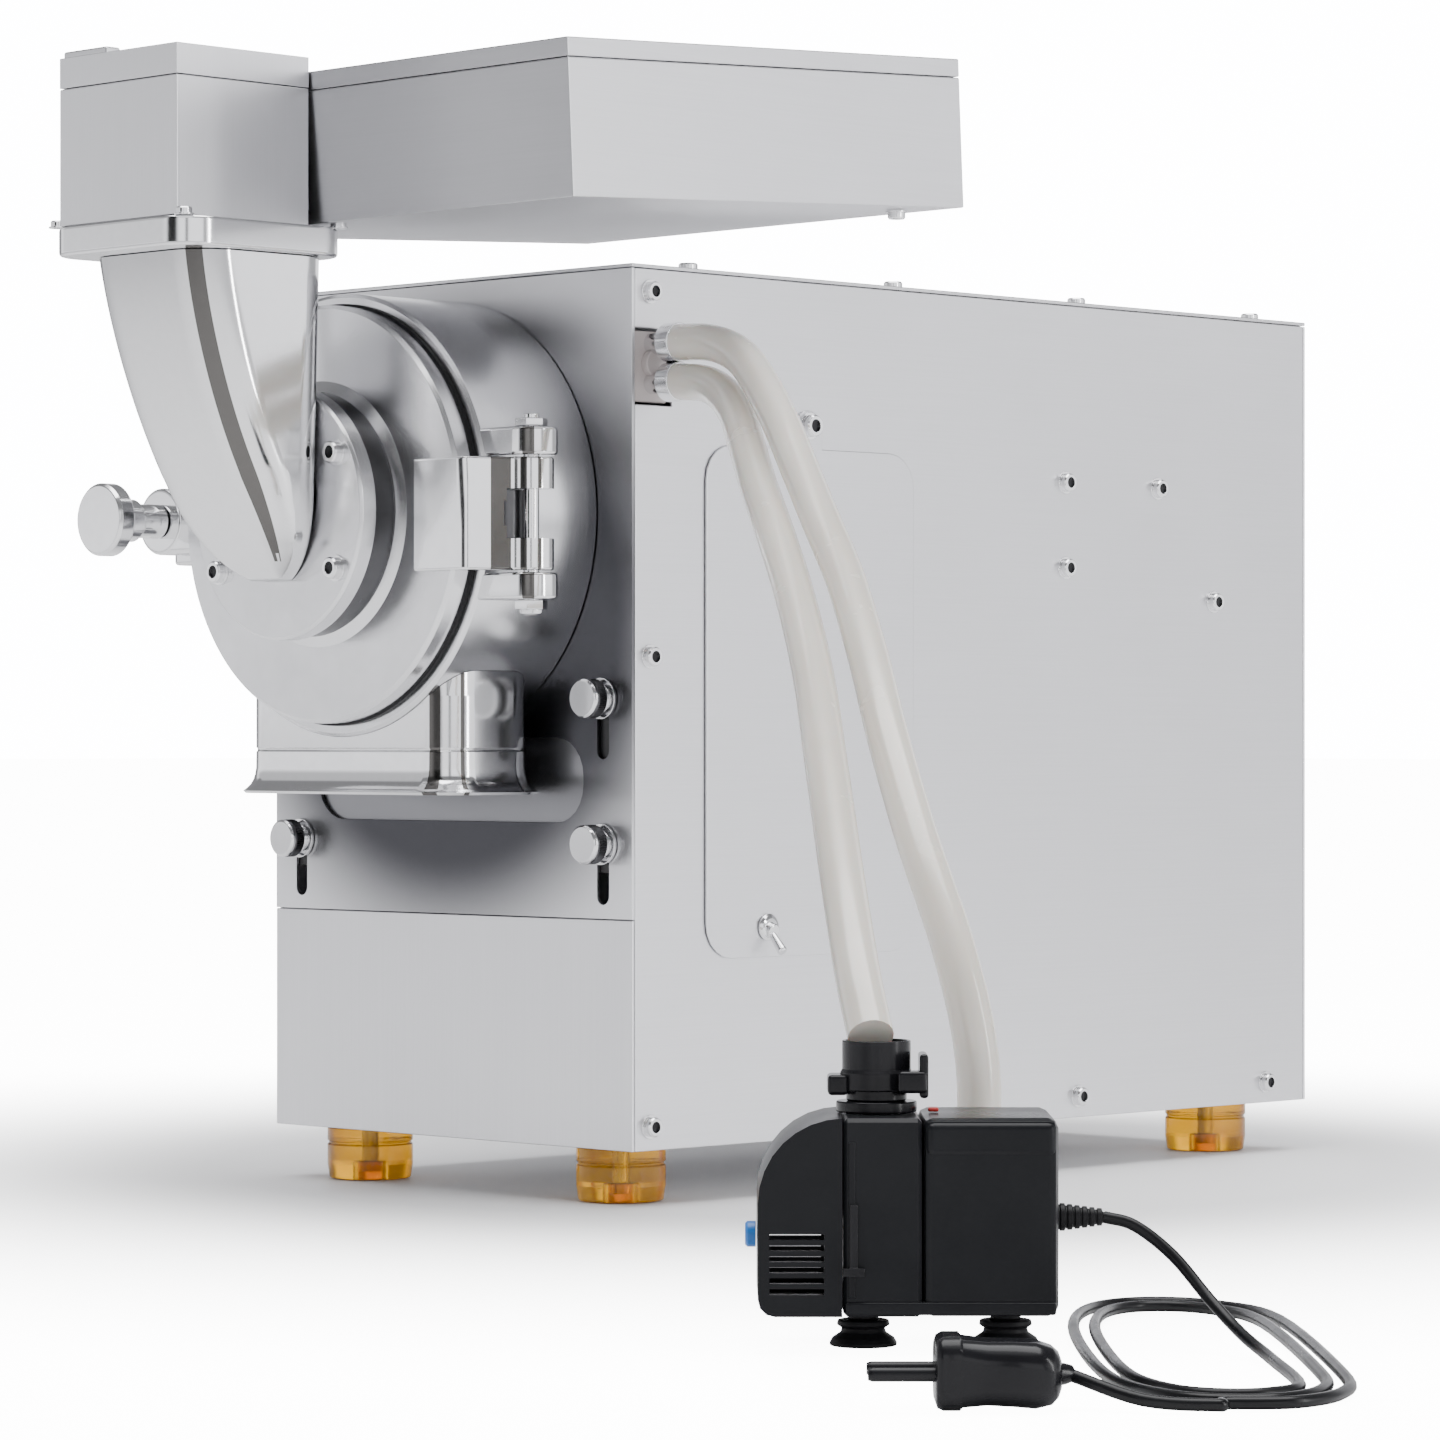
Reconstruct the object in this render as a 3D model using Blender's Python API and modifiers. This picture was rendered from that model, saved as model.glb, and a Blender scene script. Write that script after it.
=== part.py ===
"""Water-cooled bench hammer mill with its feed tray, cooling hoses and small submersible pump.

Lengths are in millimetres and are turned into metres as each mesh is made. The mill's own frame has
X to the right as seen from its front, Y from front to back, Z up from the floor, and its zero on the
floor under the middle of the case. The shaft runs along Y. FOOTPRINT moves that frame so that the
scene's origin is under the middle of mill and pump together.
"""

import math

import bmesh
import bpy
from mathutils import Matrix, Vector

MM = 0.001
GAP = 0.3

# Driving dimensions
FOOTPRINT = (208.5, -147.5)
CASE_HALF = 105.0
CASE_BACK = 205.0
CASE_TOP = 361.5
CASE_FLOOR = 21.5
SHEET = 1.5
SEAM_Z = 110.0
AXIS_Z = 266.4
RETURN_DEPTH = 16.5

FOOT_RADIUS = 17.5
FOOT_X = 74.0
FOOT_FRONT_Y = -181.0
FOOT_REAR_Y = 174.0

DRUM_RADIUS = 86.0
DRUM_BORE = 76.0
DRUM_FRONT = 262.0
DOOR_RADIUS = 81.0
DOOR_THICK = 10.0
NECK_RADIUS = 49.0
NECK_FRONT = 293.0
FEED_HOLE_RADIUS = 22.0
FEED_HOLE_Z = 272.0

PIN_X = 98.0
PIN_Y = -251.0
PIN_RADIUS = 3.0
RUNNING = 0.3
LUG_RADIUS = 10.0

ELBOW_BACK = -293.3
ELBOW_TOP = 373.0
ELBOW_DEPTH = 68.0
ELBOW_DROP = 135.0
ELBOW_HALF_TOP = 36.0
ELBOW_HALF_LOW = 33.0
ELBOW_NOSE_Z = 285.0
ELBOW_NOSE = 47.0
ELBOW_WALL = 2.0

COLLAR_CENTRE_Y = -332.0
COLLAR_HALF = 42.0
COLLAR_LOW = 362.0
COLLAR_HIGH = 373.0

DUCT_HALF = 35.0
DUCT_FRONT = -371.0
DUCT_REAR = -307.0
DUCT_LIP_Z = 425.5
DUCT_TOP = 437.0

TRAY_LEFT = -35.0
TRAY_RIGHT = 176.5
TRAY_FRONT = -303.4
TRAY_LENGTH = 208.5
TRAY_WALL_HEIGHT = 50.2
TRAY_LID_HEIGHT = 7.0
TRAY_Z = 374.3
TRAY_PITCH = math.radians(3.0)

CHUTE_HALF = 61.0
CHUTE_FRONT = -260.0
CHUTE_REAR = -212.0
CHUTE_LIP_Z = 159.0

HAMMER_PIVOT = 38.0
HAMMER_COUNT = 4

KNOB_X = 89.0
KNOB_LEVELS = (139.0, 195.0)
SLOT_DROP = 20.0

PUMP_AT = (481.6, -456.2)
PUMP_TURN = math.radians(45.0)
PUMP_LOW = 11.0
PUMP_HIGH = 69.0
PUMP_HALF = 25.0
PUMP_SHAFT_Z = 36.0

HOSE_RADIUS = 7.0
CORD_RADIUS = 1.8

# Routes of the hoses in the mill's frame, and of the cord in the pump's frame.
SUPPLY_ROUTE = (
    (118.9, -193.0, 316.0), (133.7, -194.3, 314.4), (148.5, -199.6, 309.8), (167.0, -210.6, 300.8),
    (190.0, -228.6, 287.6), (222.0, -254.5, 270.0), (258.0, -283.0, 251.5), (296.0, -312.5, 229.0),
    (340.0, -349.0, 201.5), (385.0, -389.0, 169.5), (425.0, -424.0, 137.0), (455.0, -449.0, 110.0),
    (472.3, -461.3, 91.3),
)
RETURN_ROUTE = (
    (118.9, -193.0, 331.0), (133.7, -194.1, 330.2), (148.0, -197.3, 327.3), (164.0, -203.6, 321.4),
    (186.5, -217.0, 310.0), (214.0, -235.3, 294.6), (243.0, -255.5, 276.5), (276.0, -279.0, 256.5),
    (311.0, -303.0, 234.0), (347.0, -330.0, 207.5), (380.0, -354.5, 178.0), (408.0, -371.5, 147.5),
    (430.0, -379.5, 116.0), (441.0, -381.4, 88.0), (443.0, -381.0, 64.3), (440.9, -383.1, 46.1),
    (434.8, -389.2, 29.8), (425.3, -398.7, 17.2), (413.0, -411.0, 9.6), (400.0, -424.0, 7.3),
)
CORD_LEAD = (
    (58.8, 0.0, 38.0), (68.0, -1.0, 35.5), (79.0, -5.0, 27.0), (89.0, -14.0, 15.0), (97.0, -29.0, 6.5),
    (103.0, -52.0, 2.2),
)
CORD_TURNS = ((24.0, 104.0), (29.5, 115.0), (35.5, 124.0))
CORD_CENTRE = (84.0, -26.0)
CORD_TAIL = ((78.0, -154.0, 2.0), (58.0, -152.5, 3.2), (38.6, -143.0, 9.0))
TURN_SHAPE = ((1.0, -0.5), (0.86, -0.82), (0.45, -0.98), (-0.1, -1.0), (-0.6, -0.9), (-0.93, -0.62),
              (-1.02, -0.05), (-0.95, 0.55), (-0.66, 0.9), (-0.12, 1.02), (0.5, 0.93), (0.92, 0.6))

# Turning a drawing: its x, y and normal become these axes of the mill.
FACING_FRONT = Matrix(((1, 0, 0), (0, 0, -1), (0, 1, 0)))
FACING_RIGHT = Matrix(((0, 0, 1), (1, 0, 0), (0, 1, 0)))
FACING_UP = Matrix.Identity(3)

MATERIALS = {
    "satin_sheet": ((0.62, 0.62, 0.64), 0.32, 1.0),
    "polished_steel": ((0.70, 0.70, 0.71), 0.14, 1.0),
    "shaft_steel": ((0.48, 0.48, 0.50), 0.35, 1.0),
    "cast_housing": ((0.30, 0.31, 0.33), 0.55, 0.6),
    "copper": ((0.70, 0.33, 0.18), 0.40, 1.0),
    "amber_rubber": ((0.80, 0.42, 0.03), 0.20, 0.0),
    "silicone": ((0.80, 0.78, 0.74), 0.35, 0.0),
    "black_plastic": ((0.012, 0.012, 0.016), 0.42, 0.0),
    "black_rubber": ((0.015, 0.015, 0.017), 0.55, 0.0),
    "blue_plastic": ((0.02, 0.16, 0.55), 0.35, 0.0),
}


# Tools


def start_scene():
    for found in list(bpy.data.objects):
        bpy.data.objects.remove(found)
    groups = []
    for name in ("hammer_mill", "cutters"):
        group = bpy.data.collections.new(name)
        bpy.context.scene.collection.children.link(group)
        groups.append(group)
    return groups


def make_material(name, colour, roughness, metallic):
    made = bpy.data.materials.new(name)
    made.use_nodes = True
    shader = made.node_tree.nodes["Principled BSDF"]
    shader.inputs["Base Color"].default_value = (*colour, 1.0)
    shader.inputs["Roughness"].default_value = roughness
    shader.inputs["Metallic"].default_value = metallic
    made.diffuse_color = (*colour, 1.0)
    return made


def empty(name, at, turn=0.0, parent=None):
    made = bpy.data.objects.new(name, None)
    PARTS.objects.link(made)
    made.location = Vector(at) * MM
    made.rotation_euler = (0.0, 0.0, turn)
    made.parent = parent
    return made


def piece(name, mesh, material, at=(0, 0, 0), facing=FACING_UP, frame=None, tool=False):
    """Puts a mesh drawn in millimetres into the scene, as a part or as a hidden tool."""
    mesh.transform(facing.to_4x4() @ Matrix.Scale(MM, 4))
    mesh.name = name
    made = bpy.data.objects.new(name, mesh)
    made.location = Vector(at) * MM
    made.parent = frame or MILL
    if tool:
        CUTTERS.objects.link(made)
        made.hide_render = True
        made.display_type = "WIRE"
    else:
        PARTS.objects.link(made)
        mesh.materials.append(LOOKS[material])
    return made


def mesh_of(bm, smooth=False):
    bmesh.ops.recalc_face_normals(bm, faces=bm.faces)
    mesh = bpy.data.meshes.new("shape")
    bm.to_mesh(mesh)
    bm.free()
    if smooth:
        mesh.shade_smooth()
        mesh.set_sharp_from_angle(angle=math.radians(35))
    return mesh


def block(low, high, round_by=0.0, steps=2):
    """A box between two corners, its edges rounded."""
    bm = bmesh.new()
    bmesh.ops.create_cube(bm, size=1.0)
    low, high = Vector(low), Vector(high)
    size, middle = high - low, (high + low) / 2
    for vert in bm.verts:
        vert.co = Vector(a * b for a, b in zip(vert.co, size)) + middle
    if round_by:
        bmesh.ops.bevel(bm, geom=bm.edges[:], offset=round_by, segments=steps, profile=0.5, affect="EDGES")
    return mesh_of(bm)


def rod(radius, low, high, sides=24, tip_radius=None):
    """A cylinder or cone along Z from low to high."""
    bm = bmesh.new()
    tip = radius if tip_radius is None else tip_radius
    bmesh.ops.create_cone(bm, cap_ends=True, segments=sides, radius1=radius, radius2=tip, depth=high - low)
    bmesh.ops.translate(bm, verts=bm.verts, vec=(0, 0, (low + high) / 2))
    return mesh_of(bm, smooth=True)


def arc(centre, radius, start, end, steps):
    """Points on an arc, both ends included, from start to end in degrees."""
    for step in range(steps + 1):
        angle = math.radians(start + (end - start) * step / steps)
        yield (centre[0] + radius * math.cos(angle), centre[1] + radius * math.sin(angle))


def rounded_rectangle(low, high, radius, steps=4):
    (x0, y0), (x1, y1) = low, high
    points = []
    for centre, start in (
        ((x1 - radius, y0 + radius), -90), ((x1 - radius, y1 - radius), 0),
        ((x0 + radius, y1 - radius), 90), ((x0 + radius, y0 + radius), 180),
    ):
        points += arc(centre, radius, start, start + 90, steps)
    return points


def circle(centre, radius, sides=20):
    return list(arc(centre, radius, 0, 360 - 360 / sides, sides - 1))


def plate(outline, thickness, holes=(), base=0.0):
    """A flat outline with holes, filled and given its thickness from base upwards."""
    drawing = bpy.data.curves.new("outline", "CURVE")
    drawing.dimensions = "2D"
    drawing.fill_mode = "BOTH"
    drawing.extrude = thickness / 2
    for loop in (outline, *holes):
        spline = drawing.splines.new("POLY")
        spline.points.add(len(loop) - 1)
        for point, (x, y) in zip(spline.points, loop):
            point.co = (x, y, 0, 1)
        spline.use_cyclic_u = True
    holder = bpy.data.objects.new("outline", drawing)
    PARTS.objects.link(holder)
    graph = bpy.context.evaluated_depsgraph_get()
    mesh = bpy.data.meshes.new_from_object(holder.evaluated_get(graph))
    bpy.data.objects.remove(holder)
    bm = bmesh.new()
    bm.from_mesh(mesh)
    bmesh.ops.remove_doubles(bm, verts=bm.verts, dist=0.0001)
    bmesh.ops.translate(bm, verts=bm.verts, vec=(0, 0, base + thickness / 2))
    return mesh_of(bm)


def profile_mesh(profile, closed):
    bm = bmesh.new()
    verts = [bm.verts.new((r, 0, z)) for r, z in profile]
    for a, b in zip(verts, verts[1:]):
        bm.edges.new((a, b))
    if closed:
        bm.edges.new((verts[-1], verts[0]))
    mesh = bpy.data.meshes.new("profile")
    bm.to_mesh(mesh)
    bm.free()
    return mesh


def turned(name, profile, material, at, facing=FACING_UP, sides=32, frame=None, tool=False):
    """A profile of (radius, height) turned about its own axis. It runs down the outer side."""
    closed = all(r > 0 for r, _ in profile)
    made = piece(name, profile_mesh(profile, closed), material, at, FACING_UP, frame, tool)
    made.rotation_euler = facing.to_euler()
    screw = made.modifiers.new("turn", "SCREW")
    screw.axis = "Z"
    screw.steps = screw.render_steps = sides
    screw.use_merge_vertices = True
    screw.merge_threshold = 0.00001
    screw.use_smooth_shade = True
    return made


def tool(name, mesh, at=(0, 0, 0), facing=FACING_UP, frame=None):
    return piece(name, mesh, None, at, facing, frame, tool=True)


def boolean(target, operation, helper):
    step = target.modifiers.new(helper.name, "BOOLEAN")
    step.operation = operation
    step.solver = "EXACT"
    step.object = helper


def cut(target, *helpers):
    for helper in helpers:
        boolean(target, "DIFFERENCE", helper)


def join(target, *helpers):
    for helper in helpers:
        boolean(target, "UNION", helper)


def smooth_route(points, per_span):
    """Points along a Catmull-Rom curve through the route's points."""
    route = [Vector(p) for p in points]
    ends = [2 * route[0] - route[1], *route, 2 * route[-1] - route[-2]]
    made = []
    for a, b, c, d in zip(ends, ends[1:], ends[2:], ends[3:]):
        for step in range(per_span):
            t = step / per_span
            made.append(0.5 * (2 * b + (c - a) * t + (2 * a - 5 * b + 4 * c - d) * t * t
                               + (3 * b - a - 3 * c + d) * t ** 3))
    return [*made, route[-1]]


def tube(name, route, radius, material, resolution, frame=None):
    """A solid tube along a route, with flat ends."""
    drawing = bpy.data.curves.new(name, "CURVE")
    drawing.dimensions = "3D"
    drawing.bevel_depth = radius * MM
    drawing.bevel_resolution = resolution
    drawing.use_fill_caps = True
    spline = drawing.splines.new("POLY")
    spline.points.add(len(route) - 1)
    for point, place in zip(spline.points, route):
        point.co = (*(place * MM), 1)
    drawing.materials.append(LOOKS[material])
    made = bpy.data.objects.new(name, drawing)
    made.parent = frame or MILL
    PARTS.objects.link(made)
    return made


# The case


def channel():
    """Plan of an end panel at the front: a plate with two returns folded inwards."""
    face, inner, tip = -CASE_BACK, SHEET - CASE_BACK, SHEET + RETURN_DEPTH - CASE_BACK
    out = CASE_HALF - SHEET - GAP
    half = [(CASE_HALF, face), (CASE_HALF, inner), (out, inner), (out, tip), (out - SHEET, tip),
            (out - SHEET, inner)]
    return half + [(-x, y) for x, y in reversed(half)]


def slot_outline(x, top, drop, radius):
    """A vertical slot with round ends, from the top centre down by drop."""
    return list(arc((x, top), radius, 0, 180, 8)) + list(arc((x, top - drop), radius, 180, 360, 8))


def make_front_panels():
    top = CASE_TOP - SHEET - GAP
    front = piece("front_panel", plate(channel(), top - SEAM_Z - GAP, base=SEAM_Z + GAP), "satin_sheet")
    window = plate(rounded_rectangle((-78, 147), (78, 180), 15, 6), 6 * SHEET, base=CASE_BACK - 4 * SHEET)
    cut(front, tool("front_window", window, facing=FACING_FRONT))
    shaft_hole = tool("front_shaft_hole", rod(30, 195, 210, 32), at=(0, 0, AXIS_Z), facing=FACING_FRONT)
    cut(front, shaft_hole)
    for side in (-1, 1):
        for level in KNOB_LEVELS:
            outline = slot_outline(side * KNOB_X, level, SLOT_DROP, PIN_RADIUS + RUNNING)
            slot = plate(outline, 6 * SHEET, base=CASE_BACK - 4 * SHEET)
            cut(front, tool(f"front_slot_{'left' if side < 0 else 'right'}_{level:.0f}", slot,
                            facing=FACING_FRONT))
    cut(front, tool("front_hose_notch", block((100, -203.2, 307.5), (110, -184, 337))))
    piece("lower_front_panel", plate(channel(), SEAM_Z - CASE_FLOOR, base=CASE_FLOOR), "satin_sheet")


def make_side_panels():
    inner = CASE_HALF - SHEET
    edge = CASE_BACK - SHEET - GAP
    top = CASE_TOP - SHEET - GAP
    left = [(-edge, CASE_FLOOR), (edge, CASE_FLOOR), (edge, top), (-edge, top)]
    piece("left_side_panel", plate(left, SHEET, base=-CASE_HALF), "satin_sheet", facing=FACING_RIGHT)
    right = left + [(-edge, 337), (-183.5, 337), (-183.5, 307.5), (-edge, 307.5)]
    opening = rounded_rectangle((-160, 100), (-54, 288), 8)
    piece("right_side_panel", plate(right, SHEET, [opening], inner), "satin_sheet", facing=FACING_RIGHT)


def make_top_and_floor():
    cover = [(-CASE_HALF, -CASE_BACK), (CASE_HALF, -CASE_BACK), (CASE_HALF, CASE_BACK),
             (-CASE_HALF, CASE_BACK)]
    piece("top_cover", plate(cover, SHEET, base=CASE_TOP - SHEET), "satin_sheet")
    x, y = CASE_HALF - 2 * SHEET - 2 * GAP, CASE_BACK - SHEET - GAP
    piece("base_plate", plate([(-x, -y), (x, -y), (x, y), (-x, y)], SHEET, base=CASE_FLOOR), "satin_sheet")


def make_rear_panel():
    top = CASE_TOP - SHEET - GAP
    about = Matrix.Rotation(math.pi, 3, "Z")
    rear = piece("rear_panel", plate(channel(), top - CASE_FLOOR, base=CASE_FLOOR), "satin_sheet",
                 facing=about)
    cut(rear, tool("rear_inlet_hole", block((-74, 195, 52), (-46, 212, 74))))
    cut(rear, tool("rear_switch_hole", block((-72.5, 195, 95), (-47.5, 212, 109))))
    for row in range(7):
        z = 200 + 16 * row
        cut(rear, tool(f"rear_vent_{row}", block((-55, 195, z), (55, 212, z + 5))))


def make_access_panel():
    low, high, radius = (-166, 94), (-48, 294), 14
    ear, ear_radius = (-109, 301.5), 7.7
    body = rounded_rectangle(low, high, radius, 5)
    top_right = 2 * 6
    outline = body[:top_right] + [(ear[0] + ear_radius, high[1])]
    outline += list(arc(ear, ear_radius, 0, 180, 10)) + [(ear[0] - ear_radius, high[1])] + body[top_right:]
    latch_hole = circle((-132.5, 105.7), 3.3, 16)
    mesh = plate(outline, 1.0, [latch_hole], CASE_HALF + GAP)
    piece("access_panel", mesh, "satin_sheet", facing=FACING_RIGHT)


def make_latch():
    """Quarter-turn latch of the access panel: bezel, stem, bat handle and the cam behind the sheet."""
    at = (0, -132.5, 105.7)
    face = CASE_HALF + GAP + 1.0 + GAP
    profile = [(0, face + 2.4), (4.2, face + 2.4), (5.4, face + 1.6), (5.4, face), (2.9, face),
               (2.9, 99.5), (0, 99.5)]
    latch = turned("panel_latch", profile, "polished_steel", at, FACING_RIGHT, 16)
    handle = tool("latch_bat", rod(1.1, 0, 10.5, 12, 2.0), at=(face + 1.5, -132.5, 105.7))
    handle.rotation_euler = (0, math.radians(140), 0)
    cam = tool("latch_cam", block((99.6, -136, 92), (101.0, -129, 108)))
    join(latch, handle, cam)


def make_feet():
    profile = [(0, 21.2), (17.0, 21.2), (FOOT_RADIUS, 20.4), (FOOT_RADIUS, 6), (16.6, 0), (5, 0),
               (5, 7), (0, 7)]
    for end, y in (("front", FOOT_FRONT_Y), ("rear", FOOT_REAR_Y)):
        for side, x in (("left", -FOOT_X), ("right", FOOT_X)):
            turned(f"foot_{end}_{side}", profile, "amber_rubber", (x, y, 0), sides=16)


# The grinding chamber, on the shaft's axis, where a height of a profile is a distance in front of Y = 0


def on_axis(name, profile, material, sides=32, frame=None, tool=False):
    return turned(name, profile, material, (0, 0, AXIS_Z), FACING_FRONT, sides, frame, tool)


def lug_outline(side):
    """Plan of a lug that reaches from inside the drum's wall round the pin. side is 1 at the hinge."""
    end = arc((PIN_X, PIN_Y), LUG_RADIUS, -90, 90, 8)
    outline = [(73.6, PIN_Y - LUG_RADIUS), *end, (73.6, PIN_Y + LUG_RADIUS)]
    return outline if side > 0 else [(-x, y) for x, y in reversed(outline)]


def pin_hole(side):
    return circle((side * PIN_X, PIN_Y), PIN_RADIUS + RUNNING, 14)


def make_housing():
    back = CASE_BACK + GAP
    profile = [(84.5, DRUM_FRONT), (DRUM_RADIUS, 260.5), (DRUM_RADIUS, back), (11.6, back),
               (11.6, back + 8),
               (DRUM_BORE, back + 8), (DRUM_BORE, DRUM_FRONT)]
    drum = on_axis("chamber_housing", profile, "polished_steel", 44)
    lugs = (("hinge_high", 1, 286.3, 297.0), ("hinge_low", 1, 232.0, 242.2),
            ("clamp_high", -1, 273.4, 283.4), ("clamp_low", -1, 249.4, 259.4))
    for name, side, low, high in lugs:
        join(drum, tool(name, plate(lug_outline(side), high - low, [pin_hole(side)], low)))
    cut(drum, tool("discharge_mouth", block((-52, -255, 170), (52, -217, 230))))


def make_chute():
    """A rounded rectangular tube under the drum, flared at its lip."""
    levels = ((225.0, 0.0), (168.0, 0.0), (164.5, 0.7), (161.5, 2.4), (CHUTE_LIP_Z, 5.0))
    bm = bmesh.new()
    rings = []
    for z, flare in levels:
        low = (-CHUTE_HALF - flare, CHUTE_FRONT - flare)
        high = (CHUTE_HALF + flare, CHUTE_REAR + flare)
        outline = rounded_rectangle(low, high, 12 + flare, 6)
        rings.append([bm.verts.new((x, y, z)) for x, y in outline])
    for upper, lower in zip(rings, rings[1:]):
        for i, j in zip(range(len(upper)), [*range(1, len(upper)), 0]):
            bm.faces.new((upper[i], lower[i], lower[j], upper[j]))
    chute = piece("discharge_chute", mesh_of(bm, smooth=True), "polished_steel")
    wall = chute.modifiers.new("wall", "SOLIDIFY")
    wall.thickness = 1.5 * MM
    wall.offset = -1
    cut(chute, on_axis("chute_saddle", [(0, 300), (DRUM_RADIUS + GAP, 300), (DRUM_RADIUS + GAP, 180),
                                        (0, 180)],
                       None, 44, tool=True))


def make_screen():
    """A perforated half ring under the hammers."""
    radius, start, end, columns = 70.0, 205.0, 335.0, 19
    depths = (216.5, 222, 234, 240, 252, 258.5)
    bm = bmesh.new()
    rows = []
    for depth in depths:
        ring = arc((0, AXIS_Z), radius, start, end, columns)
        rows.append([bm.verts.new((x, -depth, z)) for x, z in ring])
    for row in range(len(depths) - 1):
        for column in range(columns):
            hole = row % 2 == 1 and column % 2 == 1
            if not hole:
                a, b = rows[row], rows[row + 1]
                bm.faces.new((a[column], a[column + 1], b[column + 1], b[column]))
    screen = piece("grinding_screen", mesh_of(bm), "shaft_steel")
    wall = screen.modifiers.new("wall", "SOLIDIFY")
    wall.thickness = 1.2 * MM
    wall.offset = 0


def make_hinge_pin():
    profile = [(0, 299.5), (PIN_RADIUS, 299.5), (PIN_RADIUS, 229.5), (0, 229.5)]
    pin = turned("hinge_pin", profile, "polished_steel", (PIN_X, PIN_Y, 0), sides=20)
    for name, low, high in (("upper", 297.3, 301.8), ("lower", 226.5, 231.7)):
        join(pin, tool(f"pin_nut_{name}", rod(6.2, low, high, 6), at=(PIN_X, PIN_Y, 0)))


def make_trunnion():
    """The barrel nut that the clamp screw reaches, held between the two clamp ears."""
    at = (-PIN_X, PIN_Y, 0)
    profile = [(0, 282.5), (3.0, 282.5), (3.0, 273.1), (6.4, 273.1), (6.4, 259.7), (3.0, 259.7),
               (3.0, 250.3), (0, 250.3)]
    barrel = turned("clamp_trunnion", profile, "shaft_steel", at, sides=16)
    hole = rod(PIN_RADIUS + 0.7, 235, 265, 20)
    cut(barrel, tool("trunnion_hole", hole, at=(-PIN_X, 0, 266.4), facing=FACING_FRONT))


def make_drive():
    """Cooling jacket, motor and bearings behind the front panel, all on the shaft's axis."""
    jacket = [(72, 201.2), (72, 184), (26, 184), (26, 201.2)]
    on_axis("cooling_jacket", jacket, "cast_housing", 28)
    on_axis("bearing_front", [(22, 201), (22, 189), (8.2, 189), (8.2, 201)], "shaft_steel", 20)
    shell = [(56, 183.6), (56, 20), (12, 20), (12, 26), (51, 26), (51, 183.6)]
    on_axis("motor_shell", shell, "cast_housing", 28)
    on_axis("motor_stator", [(50.7, 150), (50.7, 60), (31, 60), (31, 150)], "copper", 28)
    for name, z, start in (("nipple_upper", 331.0, 44.0), ("nipple_lower", 316.0, 58.0)):
        profile = [(4.2, 110), (4.2, start), (2.7, start), (2.7, 118), (4.6, 118), (5.0, 115.5),
                   (4.2, 114.5)]
        turned(name, [*profile[4:], *profile[:4]], "polished_steel", (0, -193, z), FACING_RIGHT, 14)


def make_rotor():
    shaft = [(0, 253), (7.9, 253), (7.9, 160), (14, 158), (30.4, 152), (30.4, 58), (14, 52), (7.9, 50),
             (7.9, 2), (0, 2)]
    on_axis("rotor_shaft", shaft, "shaft_steel", 24)
    hub = [(46, 249), (46, 245), (14, 245), (14, 229), (46, 229), (46, 225), (8.2, 225), (8.2, 249)]
    carrier = on_axis("hammer_carrier", hub, "shaft_steel", 28)
    for index in range(HAMMER_COUNT):
        angle = math.radians(90 * index)
        x, z = HAMMER_PIVOT * math.cos(angle), AXIS_Z + HAMMER_PIVOT * math.sin(angle)
        join(carrier, tool(f"hammer_pin_{index + 1}", rod(PIN_RADIUS, 227, 247, 12), (x, 0, z),
                           FACING_FRONT))
        hammer = plate([(-7, -6), (28, -6), (28, 6), (-7, 6)], 13,
                       [circle((0, 0), PIN_RADIUS + RUNNING, 16)], 230.5)
        made = piece(f"hammer_{index + 1}", hammer, "shaft_steel", (x, 0, z), FACING_FRONT)
        made.rotation_euler = (0, -angle, 0)
    blade_ring = [(40, 14), (40, 11), (8.2, 11), (8.2, 14)]
    fan = on_axis("cooling_fan", blade_ring, "black_plastic", 24)
    for index in range(6):
        blade = tool(f"fan_blade_{index}", block((12, -11.5, -1), (38, -4, 1)), at=(0, 0, AXIS_Z))
        blade.rotation_euler = (0, math.radians(60 * index), 0)
        join(fan, blade)


# The door and what it carries


def make_door():
    back = DRUM_FRONT + GAP
    face = back + DOOR_THICK
    profile = [(0, NECK_FRONT), (NECK_RADIUS, NECK_FRONT), (NECK_RADIUS, face), (DOOR_RADIUS - 1, face),
               (DOOR_RADIUS, face - 1), (DOOR_RADIUS, back), (0, back)]
    door = on_axis("chamber_door", profile, "polished_steel", 44, DOOR)
    bracket = tool("door_bracket", block((60, -276, 243.8), (94, -262.7, 284.8), 1.5))
    knuckle = tool("door_knuckle", rod(8.6, 242.6, 285.9, 24), at=(PIN_X, PIN_Y, 0))
    arm = tool("door_arm", block((88.2, -271, 243.2), (100, PIN_Y, 285.3)))
    clamp_arm = tool("door_clamp_arm", block((-PIN_X, -271.6, 253.4), (-70, -262.9, 279.4)))
    clamp_end = tool("door_clamp_end", rod(13.4, 262.6, 272.0, 28), at=(-PIN_X, 0, AXIS_Z),
                     facing=FACING_FRONT)
    join(door, bracket, arm, knuckle, clamp_arm, clamp_end)
    notch = tool("door_bracket_notch", block((80, -266, 254.6), (112, -238, 274.0)))
    bore = tool("door_hinge_bore", rod(PIN_RADIUS + RUNNING, 230, 300, 20), at=(PIN_X, PIN_Y, 0))
    screw_hole = tool("door_screw_hole", rod(3.8, 255, 280, 20), at=(-PIN_X, 0, AXIS_Z),
                      facing=FACING_FRONT)
    feed = tool("door_feed_hole", rod(FEED_HOLE_RADIUS, 255, 300, 40), at=(0, 0, FEED_HOLE_Z),
                facing=FACING_FRONT)
    cut(door, notch, bore, screw_hole, feed)


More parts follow.
